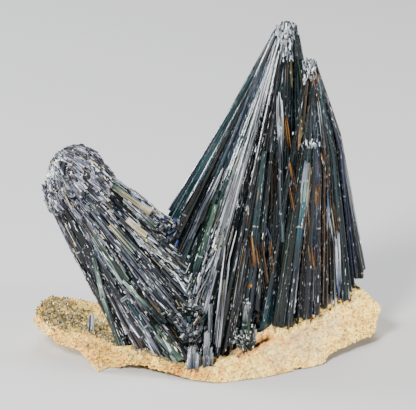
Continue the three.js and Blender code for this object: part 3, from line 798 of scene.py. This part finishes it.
for start, end, wide, tints, end_tint in (
    *((*line, GOLD, BROWN) for line in GOLDEN_LINES),
    ((26.5, -11.6, 53.6), (25.2, -13.2, 41.5), 1.3, MOTTLED, MINT),
    ((26.6, -12.0, 48.0), (25.6, -13.4, 36.0), 0.6, PAINTED_GLARE, WHITE),
    ((19.1, -8.0, 70.6), (19.6, -10.4, 58.0), 1.2, PAINTED_GLARE, GREY),
    ((34.4, -8.6, 33.0), (35.2, -9.4, 19.0), 0.9, PAINTED_GLARE, PALE_BLUE),
    ((32.3, -9.0, 41.0), (34.0, -9.8, 30.0), 0.6, PAINTED_GLARE, GREY),
    ((29.2, -10.4, 70.0), (30.6, -10.8, 58.0), 0.7, PAINTED_GLARE, GREY),
    ((5.9, -17.9, 32.4), (2.9, -24.0, 8.0), 1.3, STREAKED, GREY),
    ((4.9, -19.9, 24.0), (3.4, -24.0, 7.0), 0.8, STREAKED, SILVER),
    ((7.6, -16.8, 36.8), (5.1, -19.2, 27.0), 1.0, STREAKED, GREY),
    ((10.1, -15.6, 32.5), (7.3, -19.0, 17.0), 0.9, STREAKED, GREY),
    ((3.6, -12.6, 52.0), (-3.6, -14.6, 35.0), 2.0, MOTTLED, GREY),
    ((1.2, -11.4, 45.0), (-6.4, -14.6, 29.0), 1.6, MOTTLED, PALE_BLUE),
):
    start, end = laid_on(tall_tree, start, end, SLIVER_PROUD)
    for sliver in range(SLIVERS):
        across = wide * (sliver - (SLIVERS - 1) / 2) * SLIVER_STEP
        shift = Vector((across, 0, single_dice.roll(-1.6, 1.6)))
        tall.blade(start + shift, end + shift, FRONT, wide * single_dice.roll(0.25, 0.5),
                   wide * 0.4, single_dice, single_dice.pick(tints), end_tint,
                   roll=single_dice.roll(-0.4, 0.4), breaks=0, lens=True, wear_and_glints=0.4)
print("with the slivers:", len(tall.faces), "faces")


# %% Stubs at the front foot
def spike(build, start, end, wide, roll, tint, dice, end_tint=None, pale_end=0.0, breaks=1):
    """A short, stout crystal that faces forwards."""
    build.blade(Vector(start), Vector(end), Vector((0.2, -1, 0)).normalized(), wide, wide * 0.7,
                dice, tint, end_tint, roll=roll, last=0.9, slant=0.3, breaks=breaks,
                pale_end=pale_end, steps=4)


STUB_BLUE = (0.03, 0.05, 0.08)
stub_dice = Dice(77)
for start, end, wide, roll in (
    ((-3.7, -25.8, 2.6), (-3.4, -25.2, 8.6), 2.2, 0.2),
    ((-1.9, -26.2, 2.6), (-1.7, -25.8, 7.2), 1.9, 0.9),
    ((0.2, -25.8, 3.0), (0.6, -24.8, 12.6), 1.9, 0.5),
    ((1.6, -25.4, 2.8), (1.9, -24.6, 8.4), 1.3, 1.2),
    ((1.2, -24.4, 10.0), (1.4, -22.9, 19.6), 1.2, 0.1),
):
    spike(tall, start, end, wide, roll, STUB_BLUE, stub_dice, SILVER, 1.0, 3)


# %% Broken crystals at the foot and in the crease
def shards(build, centre, spread, count, size, tints, seed, pale, upright=0.0, slim=1.0):
    """A heap of chips; the larger `upright` is, the more of them stand."""
    dice = Dice(seed)
    for _ in range(count):
        place = Vector(centre) + Vector(dice.roll(-1, 1) * reach for reach in spread)
        way = Vector((dice.roll(-1, 1), dice.roll(-1, 1), dice.roll(-1, 1) + upright)).normalized()
        half = way * (size * dice.roll(0.6, 1.8)) * 0.5
        wide = size * dice.roll(0.4, 0.9) * slim
        build.blade(place - half, place + half, way.orthogonal().normalized(), wide, wide * 0.8,
                    dice, dice.pick(tints), roll=dice.roll(0, 3), slant=dice.roll(-0.6, 0.6),
                    breaks=0, ridges=0, steps=1, pale_end=pale * dice.roll())


BROKEN = [(4, BLACK), (2, TEAL), (1, SILVER)]
CRUSHED = [(1, SILVER), (3, BLACK), (1, GREY)]
PALE = [(6, GLARING), (1, SILVER), (1, PALE_BLUE), (0.6, BLACK)]
shards(tall, (-2.8, -22.2, 17.0), (2.4, 1.0, 1.8), 30, 1.6, BROKEN, 201, 0.2)
shards(tall, (-3.6, -24.2, 12.0), (2.6, 0.8, 2.2), 40, 0.9, CRUSHED, 202, 0.5)
for centre, spread, count, seed in (
    (MAIN_PEAK - Vector((0.1, 1.2, 2.6)), (1.6, 1.0, 1.8), 150, 204),
    (MAIN_PEAK - Vector((0.6, 2.5, 6.6)), (1.7, 0.6, 3.6), 90, 209),
    (SECOND_PEAK - Vector((-0.5, 1.6, 3.0)), (1.6, 1.0, 2.6), 110, 205),
    ((27.2, -9.8, 58.6), (2.6, 0.5, 0.8), 18, 206),
    (MAIN_PEAK - Vector((2.1, 0.8, 2.6)), (0.9, 0.9, 0.9), 40, 212),
):
    shards(tall, centre, spread, count, 1.0, PALE, seed, 1.0, 2.2, 0.5)
shards(tall, (12.0, -13.5, 10.0), (2.5, 1.2, 4.0), 16, 1.2, BROKEN, 203, 0.2)
tall.lump(Vector((11.6, -14.2, 21.4)), Vector((0.7, 0.7, 0.7)), ORANGE, 0.2, 8, 10)
tall_spray = tall.object("tall_spray_blades", tall_finish)

# %% [markdown]
# ## The leaning spray
# This one starts in a blunt, rounded knob on the left, where hundreds of blade ends form a
# dome, and widens towards the slab and into the side of the tall spray.  It is crushed and
# matted, so its layers are made of shorter blades that cross each other a little.  The knob
# is a rounded lump with short ends set all over it, because blades alone would leave its
# outline open.

# %% Where the leaning spray stands
LEAN_ORIGIN = Vector((-54.6, -4.5, 71.8))
KNOB_CENTRE = Vector((-33.0, -4.5, 46.3))
KNOB_RADII = Vector((8.1, 7.6, 10.0))
LEANING_MIDDLE = Vector((-13.0, -8.0, 10.0))
LEANING_FOOT = [
    (-22.4, -11, 4), (-21.2, -16, 3.5), (-18, -17.6, 5), (-13, -20.4, 4.5), (-8, -23.2, 4),
    (-2.5, -24.4, 3.5), (1, -21.4, 7), (3.5, -17, 15), (5, -12, 23), (2, -8, 29), (-3, -3, 31),
    (-8, 4, 27), (-9, 9, 15), (-14, 9, 4), (-19.5, 6, 4), (-22.4, -2, 4), (-22.4, -11, 4),
]

# %% Colours round the leaning spray
LEANING_TINTS = [
    (0.34, [(2, GREEN), (4, BLACK), (1, MINT), (2, TEAL), (3, GREY), (1, NAVY), (2, LILAC)]),
    (0.7, [(4, BLACK), (2, TEAL), (2, LILAC), (1, NAVY), (0.7, MINT), (1.5, CREAM), (3, GREY)]),
    (1, [(4, BLACK), (3, TEAL), (2, NAVY), (1, GREEN)]),
]
KNOB_TINTS = [(1, [(7, lighten(LILAC, 1.8)), (4, lighten(GREY, 1.8)), (1.5, BLACK), (1, TEAL),
                   (2, SILVER), (1, CREAM), (1, NAVY)])]
LEANING_SPLINTERS = [(1, [(2, CREAM), (1, LILAC), (3, BLACK), (3, SILVER), (1, MINT),
                          (3, WHITE)])]
LEANING_ZONES = [
    (0.44, 0.60, 0.62, 0.95, SILVER, 0.5),
    (0.50, 0.70, 0.75, 1.00, ROYAL, 0.45),
    (0.10, 0.20, 0.80, 1.00, LILAC, 0.6),
    (0.00, 0.12, 0.45, 0.70, NAVY, 0.5),
]

# %% A layer of leaning blades
START_SCALE = 0.55  # of a blade's full section, at the point that all the lines come from


def leaning_layer(build, count, inset, width, seed, first, palette=LEANING_TINTS, latest=0.14,
                  longest=1.0, swing=0.0, depth=0.08, steps=5, ridges=4, breaks=2,
                  pale_end=0.0):
    """Blades of the leaning spray.

    A blade starts between `first` and `first + latest` of its line, covers at most the share
    `longest` of it, and `swing` lets it cross its neighbours.
    """
    dice = Dice(seed)
    spacing = run_length(LEANING_FOOT) / count
    tint = None
    for i, (deep, roll, _, starts) in enumerate(bundles(count, dice, depth, 0.35)):
        t = (i + 0.5 + dice.roll(-0.4, 0.4)) / count
        push = inset * (1 - deep + dice.roll(-0.015, 0.015))
        base = LEANING_MIDDLE.lerp(Vector(along(LEANING_FOOT, t)), push)
        axis = (base - LEAN_ORIGIN).normalized()
        out = base - LEANING_MIDDLE
        out = (out - axis * out.dot(axis)).normalized()
        near = first + latest * dice.roll() ** 1.3
        dice.roll()  # nothing reads this draw, but without it all the later ones would change
        far = min(1.0, near + longest * dice.roll(0.4, 1.0))
        far = max(far, near + 0.05)
        wide = blade_width(dice, spacing * width)
        tint = next_tint(dice, tint, starts, palette, t)
        sideways = axis.cross(out) * (swing * dice.roll(-1, 1))
        build.blade(LEAN_ORIGIN.lerp(base, near) - sideways,
                    LEAN_ORIGIN.lerp(base, far) + sideways, out, wide,
                    wide * dice.roll(0.35, 0.6), dice, lighten(tint, dice.roll(*SHADES)),
                    roll=roll, first=mix(START_SCALE, 1.0, near), last=mix(START_SCALE, 1.0, far),
                    slant=dice.roll(-SLANT, SLANT), share=(near, far),
                    breaks=int(dice.roll(0, breaks + 0.99)), ridges=ridges, steps=steps,
                    pale_end=pale_end * dice.roll(), zone=zone_of(LEANING_ZONES, t, dice))


# %% Blades of the leaning spray
leaning = Builder()
core_foot = [LEANING_MIDDLE.lerp(Vector(row), 0.84) for row in LEANING_FOOT[:-1]]
core_tops, core_bottoms = ([LEAN_ORIGIN.lerp(p, share) for p in core_foot] for share in (0.4, 0.97))
leaning.core(core_tops, core_bottoms, BLACK)
CREASE_BLUES = [(3, NAVY), (1, LILAC), (2, lighten(ROYAL, 1.8)), (2, SILVER), (2, BLACK)]
FOOT_CHIPS = [(3, BLACK), (1, MINT), (1, CREAM)]
shards(leaning, (-9.5, -10.8, 35.2), (3.6, 1.6, 3.4), 80, 1.1, CREASE_BLUES, 210, 0.4)
shards(leaning, (-6.0, -20.0, 13.0), (6.0, 2.0, 5.0), 36, 0.9, FOOT_CHIPS, 211, 0.4)
leaning_layer(leaning, 56, 0.86, 1.5, 40, 0.4, ridges=3, depth=0.03)
leaning_layer(leaning, 70, 0.97, 1.2, 41, 0.4)
leaning_layer(leaning, 130, 1.0, 1.5, 42, 0.42, latest=0.5, longest=0.3, swing=0.35,
              pale_end=0.6)
leaning_layer(leaning, 150, 1.01, 1.2, 44, 0.42, latest=0.55, longest=0.14, swing=0.3,
              pale_end=0.8, ridges=3, steps=2)
leaning_layer(leaning, 620, 1.0, 2.6, 45, 0.385, KNOB_TINTS, latest=0.26, longest=0.06,
              swing=0.4, depth=0.02, steps=1, ridges=0, breaks=0)
flakes(leaning, LEAN_ORIGIN, LEANING_FOOT, 1200, 46, KNOB_TINTS, heart=LEANING_MIDDLE,
       start=0.4, end=0.72, inset=(0.95, 1.0))
flakes(leaning, LEAN_ORIGIN, LEANING_FOOT, 1300, 43, LEANING_SPLINTERS, heart=LEANING_MIDDLE,
       start=0.42, inset=(0.93, 1.01))
flakes(leaning, LEAN_ORIGIN, LEANING_FOOT, 900, 47, CRUSHED_TINTS, heart=LEANING_MIDDLE,
       span=(0.42, 0.56), start=0.62, end=0.97, inset=(0.97, 1.03), size=1.1)
print("leaning layers and flakes:", len(leaning.faces), "faces")

# %% Leaning blades that stand out
UP_FRONT = Vector((-0.3, -0.8, 0.45)).normalized()
LEANING_PROUD = 1.3  # millimetres in front of the others, which cross each other here
leaning_tree = BVHTree.FromPolygons(leaning.points, leaning.faces)
for start, end, wide, tint, end_tint in (
    ((-28.6, -15.4, 29.6), (-26.2, -17.6, 18.8), 1.7, GREEN, MINT),
    ((-26.3, -17.6, 19.2), (-21.6, -17.8, 4.6), 2.1, MINT, GREEN),
    ((-28.6, -14.8, 35.2), (-20.6, -17.6, 24.0), 2.6, lighten(MINT, 1.4), MINT),
    ((-21.0, -17.5, 24.4), (-10.5, -21.4, 13.6), 2.3, MINT, TEAL),
    ((-24.4, -13.6, 38.0), (-18.6, -15.2, 31.2), 2.0, CREAM, MINT),
    ((-20.1, -12.4, 38.9), (-15.2, -13.8, 35.0), 2.0, CREAM, CREAM),
    ((-23.7, -7.0, 46.2), (-14.2, -7.0, 38.9), 1.8, GREEN, CREAM),
    ((-21.0, -8.6, 43.0), (-13.0, -9.8, 36.0), 1.4, SILVER, GREEN),
):
    leaning.blade(*laid_on(leaning_tree, start, end, LEANING_PROUD), UP_FRONT, wide, wide * 0.3,
                  single_dice, tint, end_tint, first=0.6, breaks=2, steps=7)

# %% The knob of blade ends
# The ends are laid round each dome on a spiral, as seeds are in a sunflower.
GOLDEN_TURN = math.pi * (3 - math.sqrt(5))
COVER = 1.6  # how far down a dome the ends go, where 2 is right round
KNOB_GREY = (0.05, 0.05, 0.06)
knob_dice = Dice(91)
pole = (LEAN_ORIGIN - KNOB_CENTRE).normalized()
across = pole.cross(Vector((0, 1, 0))).normalized()
beyond = pole.cross(across)
# The dome itself, and the two shoulders by which it runs into the blades.
for centre, radii, ends in (
    (KNOB_CENTRE, KNOB_RADII, 1500),
    (Vector((-28.4, -4.5, 45.2)), Vector((5.6, 8.0, 6.2)), 500),
    (Vector((-36.6, -5.0, 43.0)), Vector((5.0, 7.6, 5.6)), 500),
):
    leaning.lump(centre, radii * 0.97, KNOB_GREY, 0.14, rows=28, around=44)
    for i in range(ends):
        height = 1 - COVER * (i + 0.5) / ends
        ring = math.sqrt(max(0.0, 1 - height * height))
        turn = i * GOLDEN_TURN
        unit = pole * height + across * (ring * math.cos(turn)) + beyond * (ring * math.sin(turn))
        dent = 0.965 + 0.07 * noise.noise(unit * 2.6) + knob_dice.roll(-0.015, 0.015)
        surface = centre + Vector(u * r for u, r in zip(unit, radii)) * dent
        down = (surface - LEAN_ORIGIN).normalized()
        down = (down - unit * (down.dot(unit) * 0.9)).normalized()
        down = (down + Vector(knob_dice.roll(-0.2, 0.2) for _ in range(3))).normalized()
        wide = knob_dice.roll(0.3, 0.8)
        long = knob_dice.roll(0.8, 3.2)
        patch = 1.1 + 1.2 * noise.noise(surface * 0.6)
        tint = lighten(knob_dice.pick(tints_at(KNOB_TINTS, 0)), patch)
        leaning.blade(surface - down * long * 0.4,
                      surface + down * long * 0.6 - unit * 0.12 * long, unit, wide, wide * 0.7,
                      knob_dice, lighten(tint, knob_dice.roll(0.7, 1.6)),
                      roll=knob_dice.roll(-0.6, 0.6), first=0.8, jag=0.3, breaks=0, ridges=0,
                      steps=1, dust=0.8)
leaning_spray = leaning.object("leaning_spray_blades", leaning_finish)

# %% [markdown]
# ## The small crystals
# A tight cluster grows at the foot of the tall spray and one lone crystal stands on the
# slab's left wing.  One prism for each would look like a pencil, so every crystal of the
# cluster is a bundle of thinner stalks.

# %% Build the small crystals
CLUSTER_GREEN = (0.014, 0.036, 0.026)
LONE_BLUE = (0.55, 0.62, 0.72)
STALKS = 5  # thin crystals that make one of the cluster's
small = Builder()
small_dice = Dice(5)
for start, end, wide, roll in (
    ((10.8, -17.6, 4.5), (10.8, -16.0, 18.2), 3.1, 0.2),
    ((9.8, -18.2, 4.5), (7.4, -18.8, 12.0), 1.6, 0.6),
    ((11.6, -18.2, 4.5), (13.0, -18.6, 11.6), 1.6, 1.1),
    ((10.6, -18.8, 4.5), (9.4, -19.6, 11.0), 1.3, 1.8),
):
    for stalk in range(STALKS):
        shift = Vector((small_dice.roll(-0.3, 0.3), small_dice.roll(-0.3, 0.3), 0)) * wide
        tip = Vector(end) + shift * 0.5 - Vector((0, 0, stalk * 0.9))
        spike(small, Vector(start) + shift, tip, wide * 0.6, roll + stalk * 0.4, CLUSTER_GREEN,
              small_dice, pale_end=1.0)
shards(small, (10.8, -16.2, 17.6), (0.9, 0.5, 0.8), 16, 0.8, PALE, 207, 1.0)
shards(small, (9.6, -19.2, 9.6), (2.2, 0.5, 2.4), 26, 0.9, PALE, 208, 1.0, 1.2, 0.4)
foot_cluster = small.object("foot_cluster_blades", pale_finish)

lone = Builder()
spike(lone, (-30.0, -9.6, 5.0), (-29.6, -9.2, 11.2), 1.6, 0.3, LONE_BLUE, small_dice)
lone_crystal = lone.object("lone_crystal_blade", pale_finish)

# %% [markdown]
# ## The slab
# Broken sandstone: cream and tan grains, ragged where it split, stained by rust.  The CAD
# slab is copied and remeshed into even small faces.  Its skin is then pushed in and out by
# noise at several sizes: lumps, broken steps and grains.  Sculpting would do it too, but
# noise comes out the same each time.  A crack is pressed in below the blades and painted
# dark as shade, and the stains are painted corner by corner, from a few centres.  The
# material paints shade into the pits of the fine grain and highlights onto its tops.

# %% Copy the slab and remesh it
SLAB_VOXEL = 0.36 * MM
slab = bpy.data.objects.new("slab_rock", nodes["matrix_slab"].data.copy())
slab.matrix_world = nodes["matrix_slab"].matrix_world
bpy.context.scene.collection.objects.link(slab)
remesh = slab.modifiers.new("even", "REMESH")
remesh.mode = "VOXEL"
remesh.voxel_size = SLAB_VOXEL
depsgraph = bpy.context.evaluated_depsgraph_get()
slab.data = bpy.data.meshes.new_from_object(slab.evaluated_get(depsgraph))
slab.modifiers.clear()


def corners(mesh, key):
    """One vector for every corner of a mesh, as an array."""
    rows = np.empty(len(mesh.vertices) * 3)
    mesh.vertices.foreach_get(key, rows)
    return rows.reshape(-1, 3)


at = corners(slab.data, "co") / MM
normals = corners(slab.data, "normal")
print("slab", len(at), "corners")


# %% Push its skin in and out
def bumps(points, scale, shift):
    """Noise at every point, from about -1 to 1."""
    move = Vector(shift)
    return np.array([noise.noise(Vector(p) * scale + move) for p in points])


def near_line(points, start, end):
    """How far every point is from the line between two."""
    start, end = np.array(start), np.array(end)
    way = end - start
    share = np.clip(((points - start) @ way) / (way @ way), 0, 1)
    return np.linalg.norm(points - start - share[:, None] * way, axis=1)


BROKEN_CORNER = Vector((39.6, 3.0, 15.6))  # from here the right end slopes down
CRACK = ((8.6, -21.0, 4.6), (12.5, -17.6, 5.8), (16.8, -14.8, 7.4))
CRACK_WIDTH = 0.55
CRACK_DEPTH = 1.1
LEDGES = 5  # steps to one unit of noise
# Noise from coarse to fine, each with a shift of its own so that no two are alike.
lumps = bumps(at, 0.16, (0, 0, 0))
knobs = bumps(at, 0.42, (5, 2, 8))
ledges = np.round(bumps(at, 0.55, (7, 3, 1)) * LEDGES) / LEDGES
grit = bumps(at, 1.2, (4, 4, 2))
sand = bumps(at, 2.4, (1, 9, 4))
# Masks: 1 on the broken sides, low on them, in the crack, at the right end, and below.
edge = np.clip(1.4 - np.abs(normals[:, 2]) * 1.6, 0, 1)
rim = edge * np.clip(1.2 - at[:, 2] / 7, 0, 1)
crack = np.minimum(near_line(at, CRACK[0], CRACK[1]), near_line(at, CRACK[1], CRACK[2]))
in_crack = np.exp(-((crack + 0.5 * grit) / CRACK_WIDTH) ** 2)
right_end = np.clip((at[:, 0] - 40) / 4, 0, 1)
resting = np.where(normals[:, 2] < 0, np.clip(1 - at[:, 2] / 1.5, 0, 1), 0)

push = 0.25 * lumps + 0.35 * ledges + 0.3 * grit + 0.36 * sand + 0.6 * edge * np.abs(knobs) - 0.25
push += rim * (1.3 * np.abs(grit) + 0.7 * sand - 0.75)
push += 1.2 * right_end
push -= CRACK_DEPTH * in_crack
at += normals * (push * (1 - resting))[:, None]
corner_drop = 0.94 * (at[:, 0] - BROKEN_CORNER.x) + 0.36 * (at[:, 1] - BROKEN_CORNER.y)
at[:, 2] = np.minimum(at[:, 2], BROKEN_CORNER.z - corner_drop + 0.3 * grit)
at[:, 2] = np.maximum(at[:, 2], 0.0)
slab.data.vertices.foreach_set("co", (at * MM).ravel())
slab.data.update()
print("pushed from", round(push.min(), 2), "to", round(push.max(), 2), "mm")

# %% Stains
# Rows of x, y, z and reach.
RUST_SPOTS = [
    (12.0, -18.0, 5.5, 2.6), (16.0, -15.0, 7.0, 2.0), (-1.5, -28.4, 2.4, 2.2),
    (-30.5, -18.6, 2.6, 1.8), (-39.0, -11.0, 6.0, 1.8), (-8.0, -25.0, 1.5, 1.8),
    (36.0, -7.5, 7.5, 1.0), (5.0, -27.0, 3.0, 1.4), (-27.0, -21.0, 1.5, 1.6),
    (21.0, -15.0, 6.5, 1.4),
]
LILAC_SPOTS = [(26.0, -14.0, 5.5, 4.2), (19.0, -19.0, 4.0, 3.0), (33.0, -8.0, 8.5, 3.0)]
DRUSE_SPOTS = [
    (-36.0, 0.0, 9.0, 9.5), (-29.0, -4.0, 8.0, 6.0), (-16.0, -20.5, 5.5, 4.0),
    (-8.0, -24.0, 4.6, 3.6), (-24.0, -12.0, 6.5, 4.5), (9.0, -18.0, 6.0, 3.5),
]


def stain(spots, ragged):
    """How much of a stain lies on every corner, from a few centres and their reach."""
    most = np.zeros(len(at))
    for x, y, z, reach in spots:
        away = np.linalg.norm(at - np.array((x, y, z)), axis=1) / reach
        most = np.maximum(most, np.clip(1.5 - away + ragged * 0.9, 0, 1))
    return most


rust = stain(RUST_SPOTS, grit + 0.6 * knobs) * np.clip(0.2 + 1.5 * sand + grit, 0, 1)
rust = np.maximum(rust, np.exp(-(((crack + 0.3 * grit) - 0.9) / 0.5) ** 2) * 0.9)  # by the crack
lilac = stain(LILAC_SPOTS, knobs + grit) * 0.42
facing_up = np.clip(corners(slab.data, "normal")[:, 2] * 2.2 - 0.7, 0, 1)
druse_ground = np.maximum(stain(DRUSE_SPOTS, grit + knobs), 0.25) * facing_up
# The stain layer holds rust, lilac and druse ground, and in its last channel the crack, where shade
# is painted.
write_layer(slab.data, "stain", "FLOAT_COLOR", "color",
            np.stack([rust, lilac, druse_ground, 1 - in_crack], axis=1))
print("druse ground on", int((druse_ground > 0.5).sum()), "corners")


# %% The rock material
TAN_SPECK = (0.50, 0.27, 0.07)
# Painted shade in the pits of the grain's bump.
PAINTED_PIT_SHADE = (0.20, 0.11, 0.03)
# A painted highlight on the tops of the grain's bump.
PAINTED_GRAIN_HIGHLIGHT = (1.0, 0.91, 0.62)
LILAC_EARTH = (0.46, 0.34, 0.28)
RUST = (0.70, 0.24, 0.04)
# Painted shade in the crack; the druse crystals take it as dark specks.
CRACK_SHADE_AND_DARK_SPECKS = (0.03, 0.02, 0.01)


def rock_material():
    material, tree, shader = new_material("sandstone")
    stain_node = node(tree, "Attribute", attribute_name="stain")
    parts = node(tree, "SeparateColor", {"Color": stain_node.outputs["Color"]}).outputs
    broad = cloud(tree, 90)
    middle = cloud(tree, 420)
    fine = cloud(tree, 1500, 5.0, 0.7)
    colour = ramp(tree, broad, [(0.3, (0.90, 0.52, 0.12)), (0.5, (1.0, 0.69, 0.17)),
                                (0.7, (1.0, 0.85, 0.33))])
    colour = blend(tree, rise(tree, middle, 0.50, 0.66, 0.0, 0.75), colour, TAN_SPECK)
    # The same fine noise makes the bump: darker in its pits as painted shade, paler on its tops as
    # a painted highlight.
    colour = blend(tree, rise(tree, fine, 0.38, 0.50, 0.1), PAINTED_PIT_SHADE, colour)
    colour = blend(tree, rise(tree, fine, 0.62, 0.70, 0.0, 0.7), colour, PAINTED_GRAIN_HIGHLIGHT)
    colour = blend(tree, parts[1], colour, LILAC_EARTH)
    # The druse ground's own olive brown, darker in the bump's pits as painted shade and paler on
    # its tops as a painted sparkle.
    druse_ground_shade_and_sparkle = ramp(tree, fine, [(0.38, (0.06, 0.045, 0.015)), (0.52, (0.26, 0.19, 0.07)),
                                    (0.66, (0.55, 0.46, 0.25))])
    colour = blend(tree, parts[2], colour, druse_ground_shade_and_sparkle)
    colour = blend(tree, parts[0], colour, RUST)
    # Painted shade in the crack, from the stain layer's last channel.
    colour = blend(tree, stain_node.outputs["Alpha"], CRACK_SHADE_AND_DARK_SPECKS, colour)
    fill(tree, shader, {
        "Base Color": colour,
        "Roughness": rise(tree, middle, 0.3, 0.7, 0.7, 0.95),
        "Specular IOR Level": 0.2,
        "Normal": bump(tree, fine, 0.8, 0.0003),
    })
    return material


slab.data.materials.clear()
slab.data.materials.append(rock_material())

# %% [markdown]
# ## The druse
# Between the blades and on the slab's left wing lies a crust of tiny, brown-green, sparkling
# crystals.  Each is a pointed double pyramid less than a millimetre long, set on a corner of
# the slab's own mesh, and all of them are joined to the slab.  A particle system could
# scatter them too, but a plain mesh is the same each time and exports as it is.

# %% The druse material
def druse_material():
    material, tree, shader = new_material("druse")
    tint = node(tree, "Attribute", attribute_name="tint").outputs["Color"]
    haze = cloud(tree, 900.0, 3.0, 0.5)
    fill(tree, shader, {
        # Darker where the haze noise is low, which is also where its bump is low.
        "Base Color": blend(tree, rise(tree, haze, 0.4, 0.6, 0.5), CRACK_SHADE_AND_DARK_SPECKS, tint),
        "Roughness": rise(tree, haze, 0.3, 0.7, 0.12, 0.35),
        "IOR": 1.6,
        "Normal": bump(tree, haze, 0.3, 0.0001),
    })
    return material


# %% Tiny crystals on the slab
DRUSE_SIDES = 4
DRUSE_COUNT = 2600
DRUSE_SIZES = (0.22, 0.62)  # millimetres
DRUSE_TINTS = [(3, (0.20, 0.15, 0.05)), (2, (0.38, 0.30, 0.14)), (1, (0.62, 0.56, 0.38)),
               (1.5, (0.06, 0.05, 0.03)), (0.4, (0.75, 0.72, 0.62))]
druse_dice = Dice(404)
points, faces, tints = [], [], []
grown = np.nonzero((druse_ground > 0.55) & (at[:, 2] > 4.0))[0]
print("room for druse at", len(grown), "corners")
for _ in range(DRUSE_COUNT):
    index = int(grown[int(druse_dice.roll(0, len(grown)))])
    foot = Vector(at[index])
    lean = Vector([druse_dice.roll(-0.7, 0.7) for _ in range(3)])
    way = (Vector(normals[index]) + lean).normalized()
    size = druse_dice.roll(*DRUSE_SIZES)
    side = way.orthogonal().normalized()
    side.rotate(Matrix.Rotation(druse_dice.roll(0, 3), 3, way))
    other = way.cross(side)
    base = len(points)
    points += [foot - way * size * 0.6, foot + way * size * 0.9]
    for k in range(DRUSE_SIDES):
        turn = 2 * math.pi * k / DRUSE_SIDES
        points.append(foot + (side * math.cos(turn) + other * math.sin(turn)) * size * 0.45)
    for k in range(DRUSE_SIDES):
        here, beside = base + 2 + k, base + 2 + (k + 1) % DRUSE_SIDES
        faces += [(base + 1, here, beside), (base, beside, here)]
    tints += [(*druse_dice.pick(DRUSE_TINTS), 1.0)] * (2 + DRUSE_SIDES)
druse = mesh_object("druse", points, faces, druse_material())
write_layer(druse.data, "tint", "FLOAT_COLOR", "color", tints)
bpy.ops.object.select_all(action="DESELECT")
druse.select_set(True)
slab.select_set(True)
bpy.context.view_layer.objects.active = slab
bpy.ops.object.join()
print("slab with druse", len(slab.data.polygons), "faces")

# %% [markdown]
# ## Fixing the pieces to the frame
# Every piece rides on the part's one body and stands for its CAD node, which is hidden.
# Without that, the look would stay behind when the part is moved.

# %% Ride and replace
for piece, cad, finish in (
    (slab, "matrix_slab", "sandstone"),
    (tall_spray, "tall_spray", "vivianite"),
    (leaning_spray, "leaning_spray", "vivianite"),
    (foot_cluster, "foot_cluster", "pale_crystal"),
    (lone_crystal, "lone_crystal", "pale_crystal"),
):
    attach(piece, "root")
    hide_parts(cad)

# %% [markdown]
# ## Floor, light and camera
# A plain pale floor and four soft lights: a cool one from the left, the key light from the
# front, a small one from the right and one from above.  The camera looks at the specimen's
# front, along the same line of sight by which the blades that stand out were laid.

# %% Floor
bpy.ops.mesh.primitive_plane_add(size=6, location=(0, 0, 0))
floor = bpy.context.object
floor.name = "floor"
floor_material, _, floor_shader = new_material("floor_paper")
floor_shader.inputs["Base Color"].default_value = (0.42, 0.42, 0.416, 1)
floor_shader.inputs["Roughness"].default_value = 0.8
floor.data.materials.append(floor_material)


# %% Lights
def soft_light(name, place, aim, wide, high, power, colour=(1, 1, 1)):
    data = bpy.data.lights.new(name, "AREA")
    data.shape = "RECTANGLE"
    data.size = wide
    data.size_y = high
    data.energy = power
    data.color = colour
    made = bpy.data.objects.new(name, data)
    made.location = place
    made.rotation_euler = (Vector(aim) - Vector(place)).to_track_quat("-Z", "Y").to_euler()
    bpy.context.scene.collection.objects.link(made)


soft_light("left", (-0.84, 0.24, 0.15), (0, 0, 0.05), 0.42, 0.22, 34, (0.93, 0.97, 1.0))
soft_light("key", (-0.3, -0.6, 0.6), (0, 0, 0.03), 0.2, 0.2, 18)
soft_light("right", (0.75, -0.2, 0.14), (0, 0, 0.05), 0.12, 0.2, 14)
soft_light("top", (0.05, 0.15, 0.9), (0, 0, 0.0), 0.4, 0.4, 9)
world = bpy.data.worlds.new("room")
world.use_nodes = True
background = world.node_tree.nodes["Background"]
background.inputs["Color"].default_value = (0.8, 0.84, 0.9, 1)
background.inputs["Strength"].default_value = 0.07
bpy.context.scene.world = world

# %% Camera
DISTANCE = 0.9
AIM = Vector((0.0008, 0, 0.0385))
LENS = 298  # millimetres, on a sensor 36 wide
camera_data = bpy.data.cameras.new("camera")
camera_data.lens = LENS
camera_data.sensor_width = 36
camera = bpy.data.objects.new("camera", camera_data)
camera.location = AIM - LOOK * DISTANCE
camera.rotation_euler = (math.pi / 2 - ELEVATION, 0, 0)
bpy.context.scene.collection.objects.link(camera)
bpy.context.scene.camera = camera
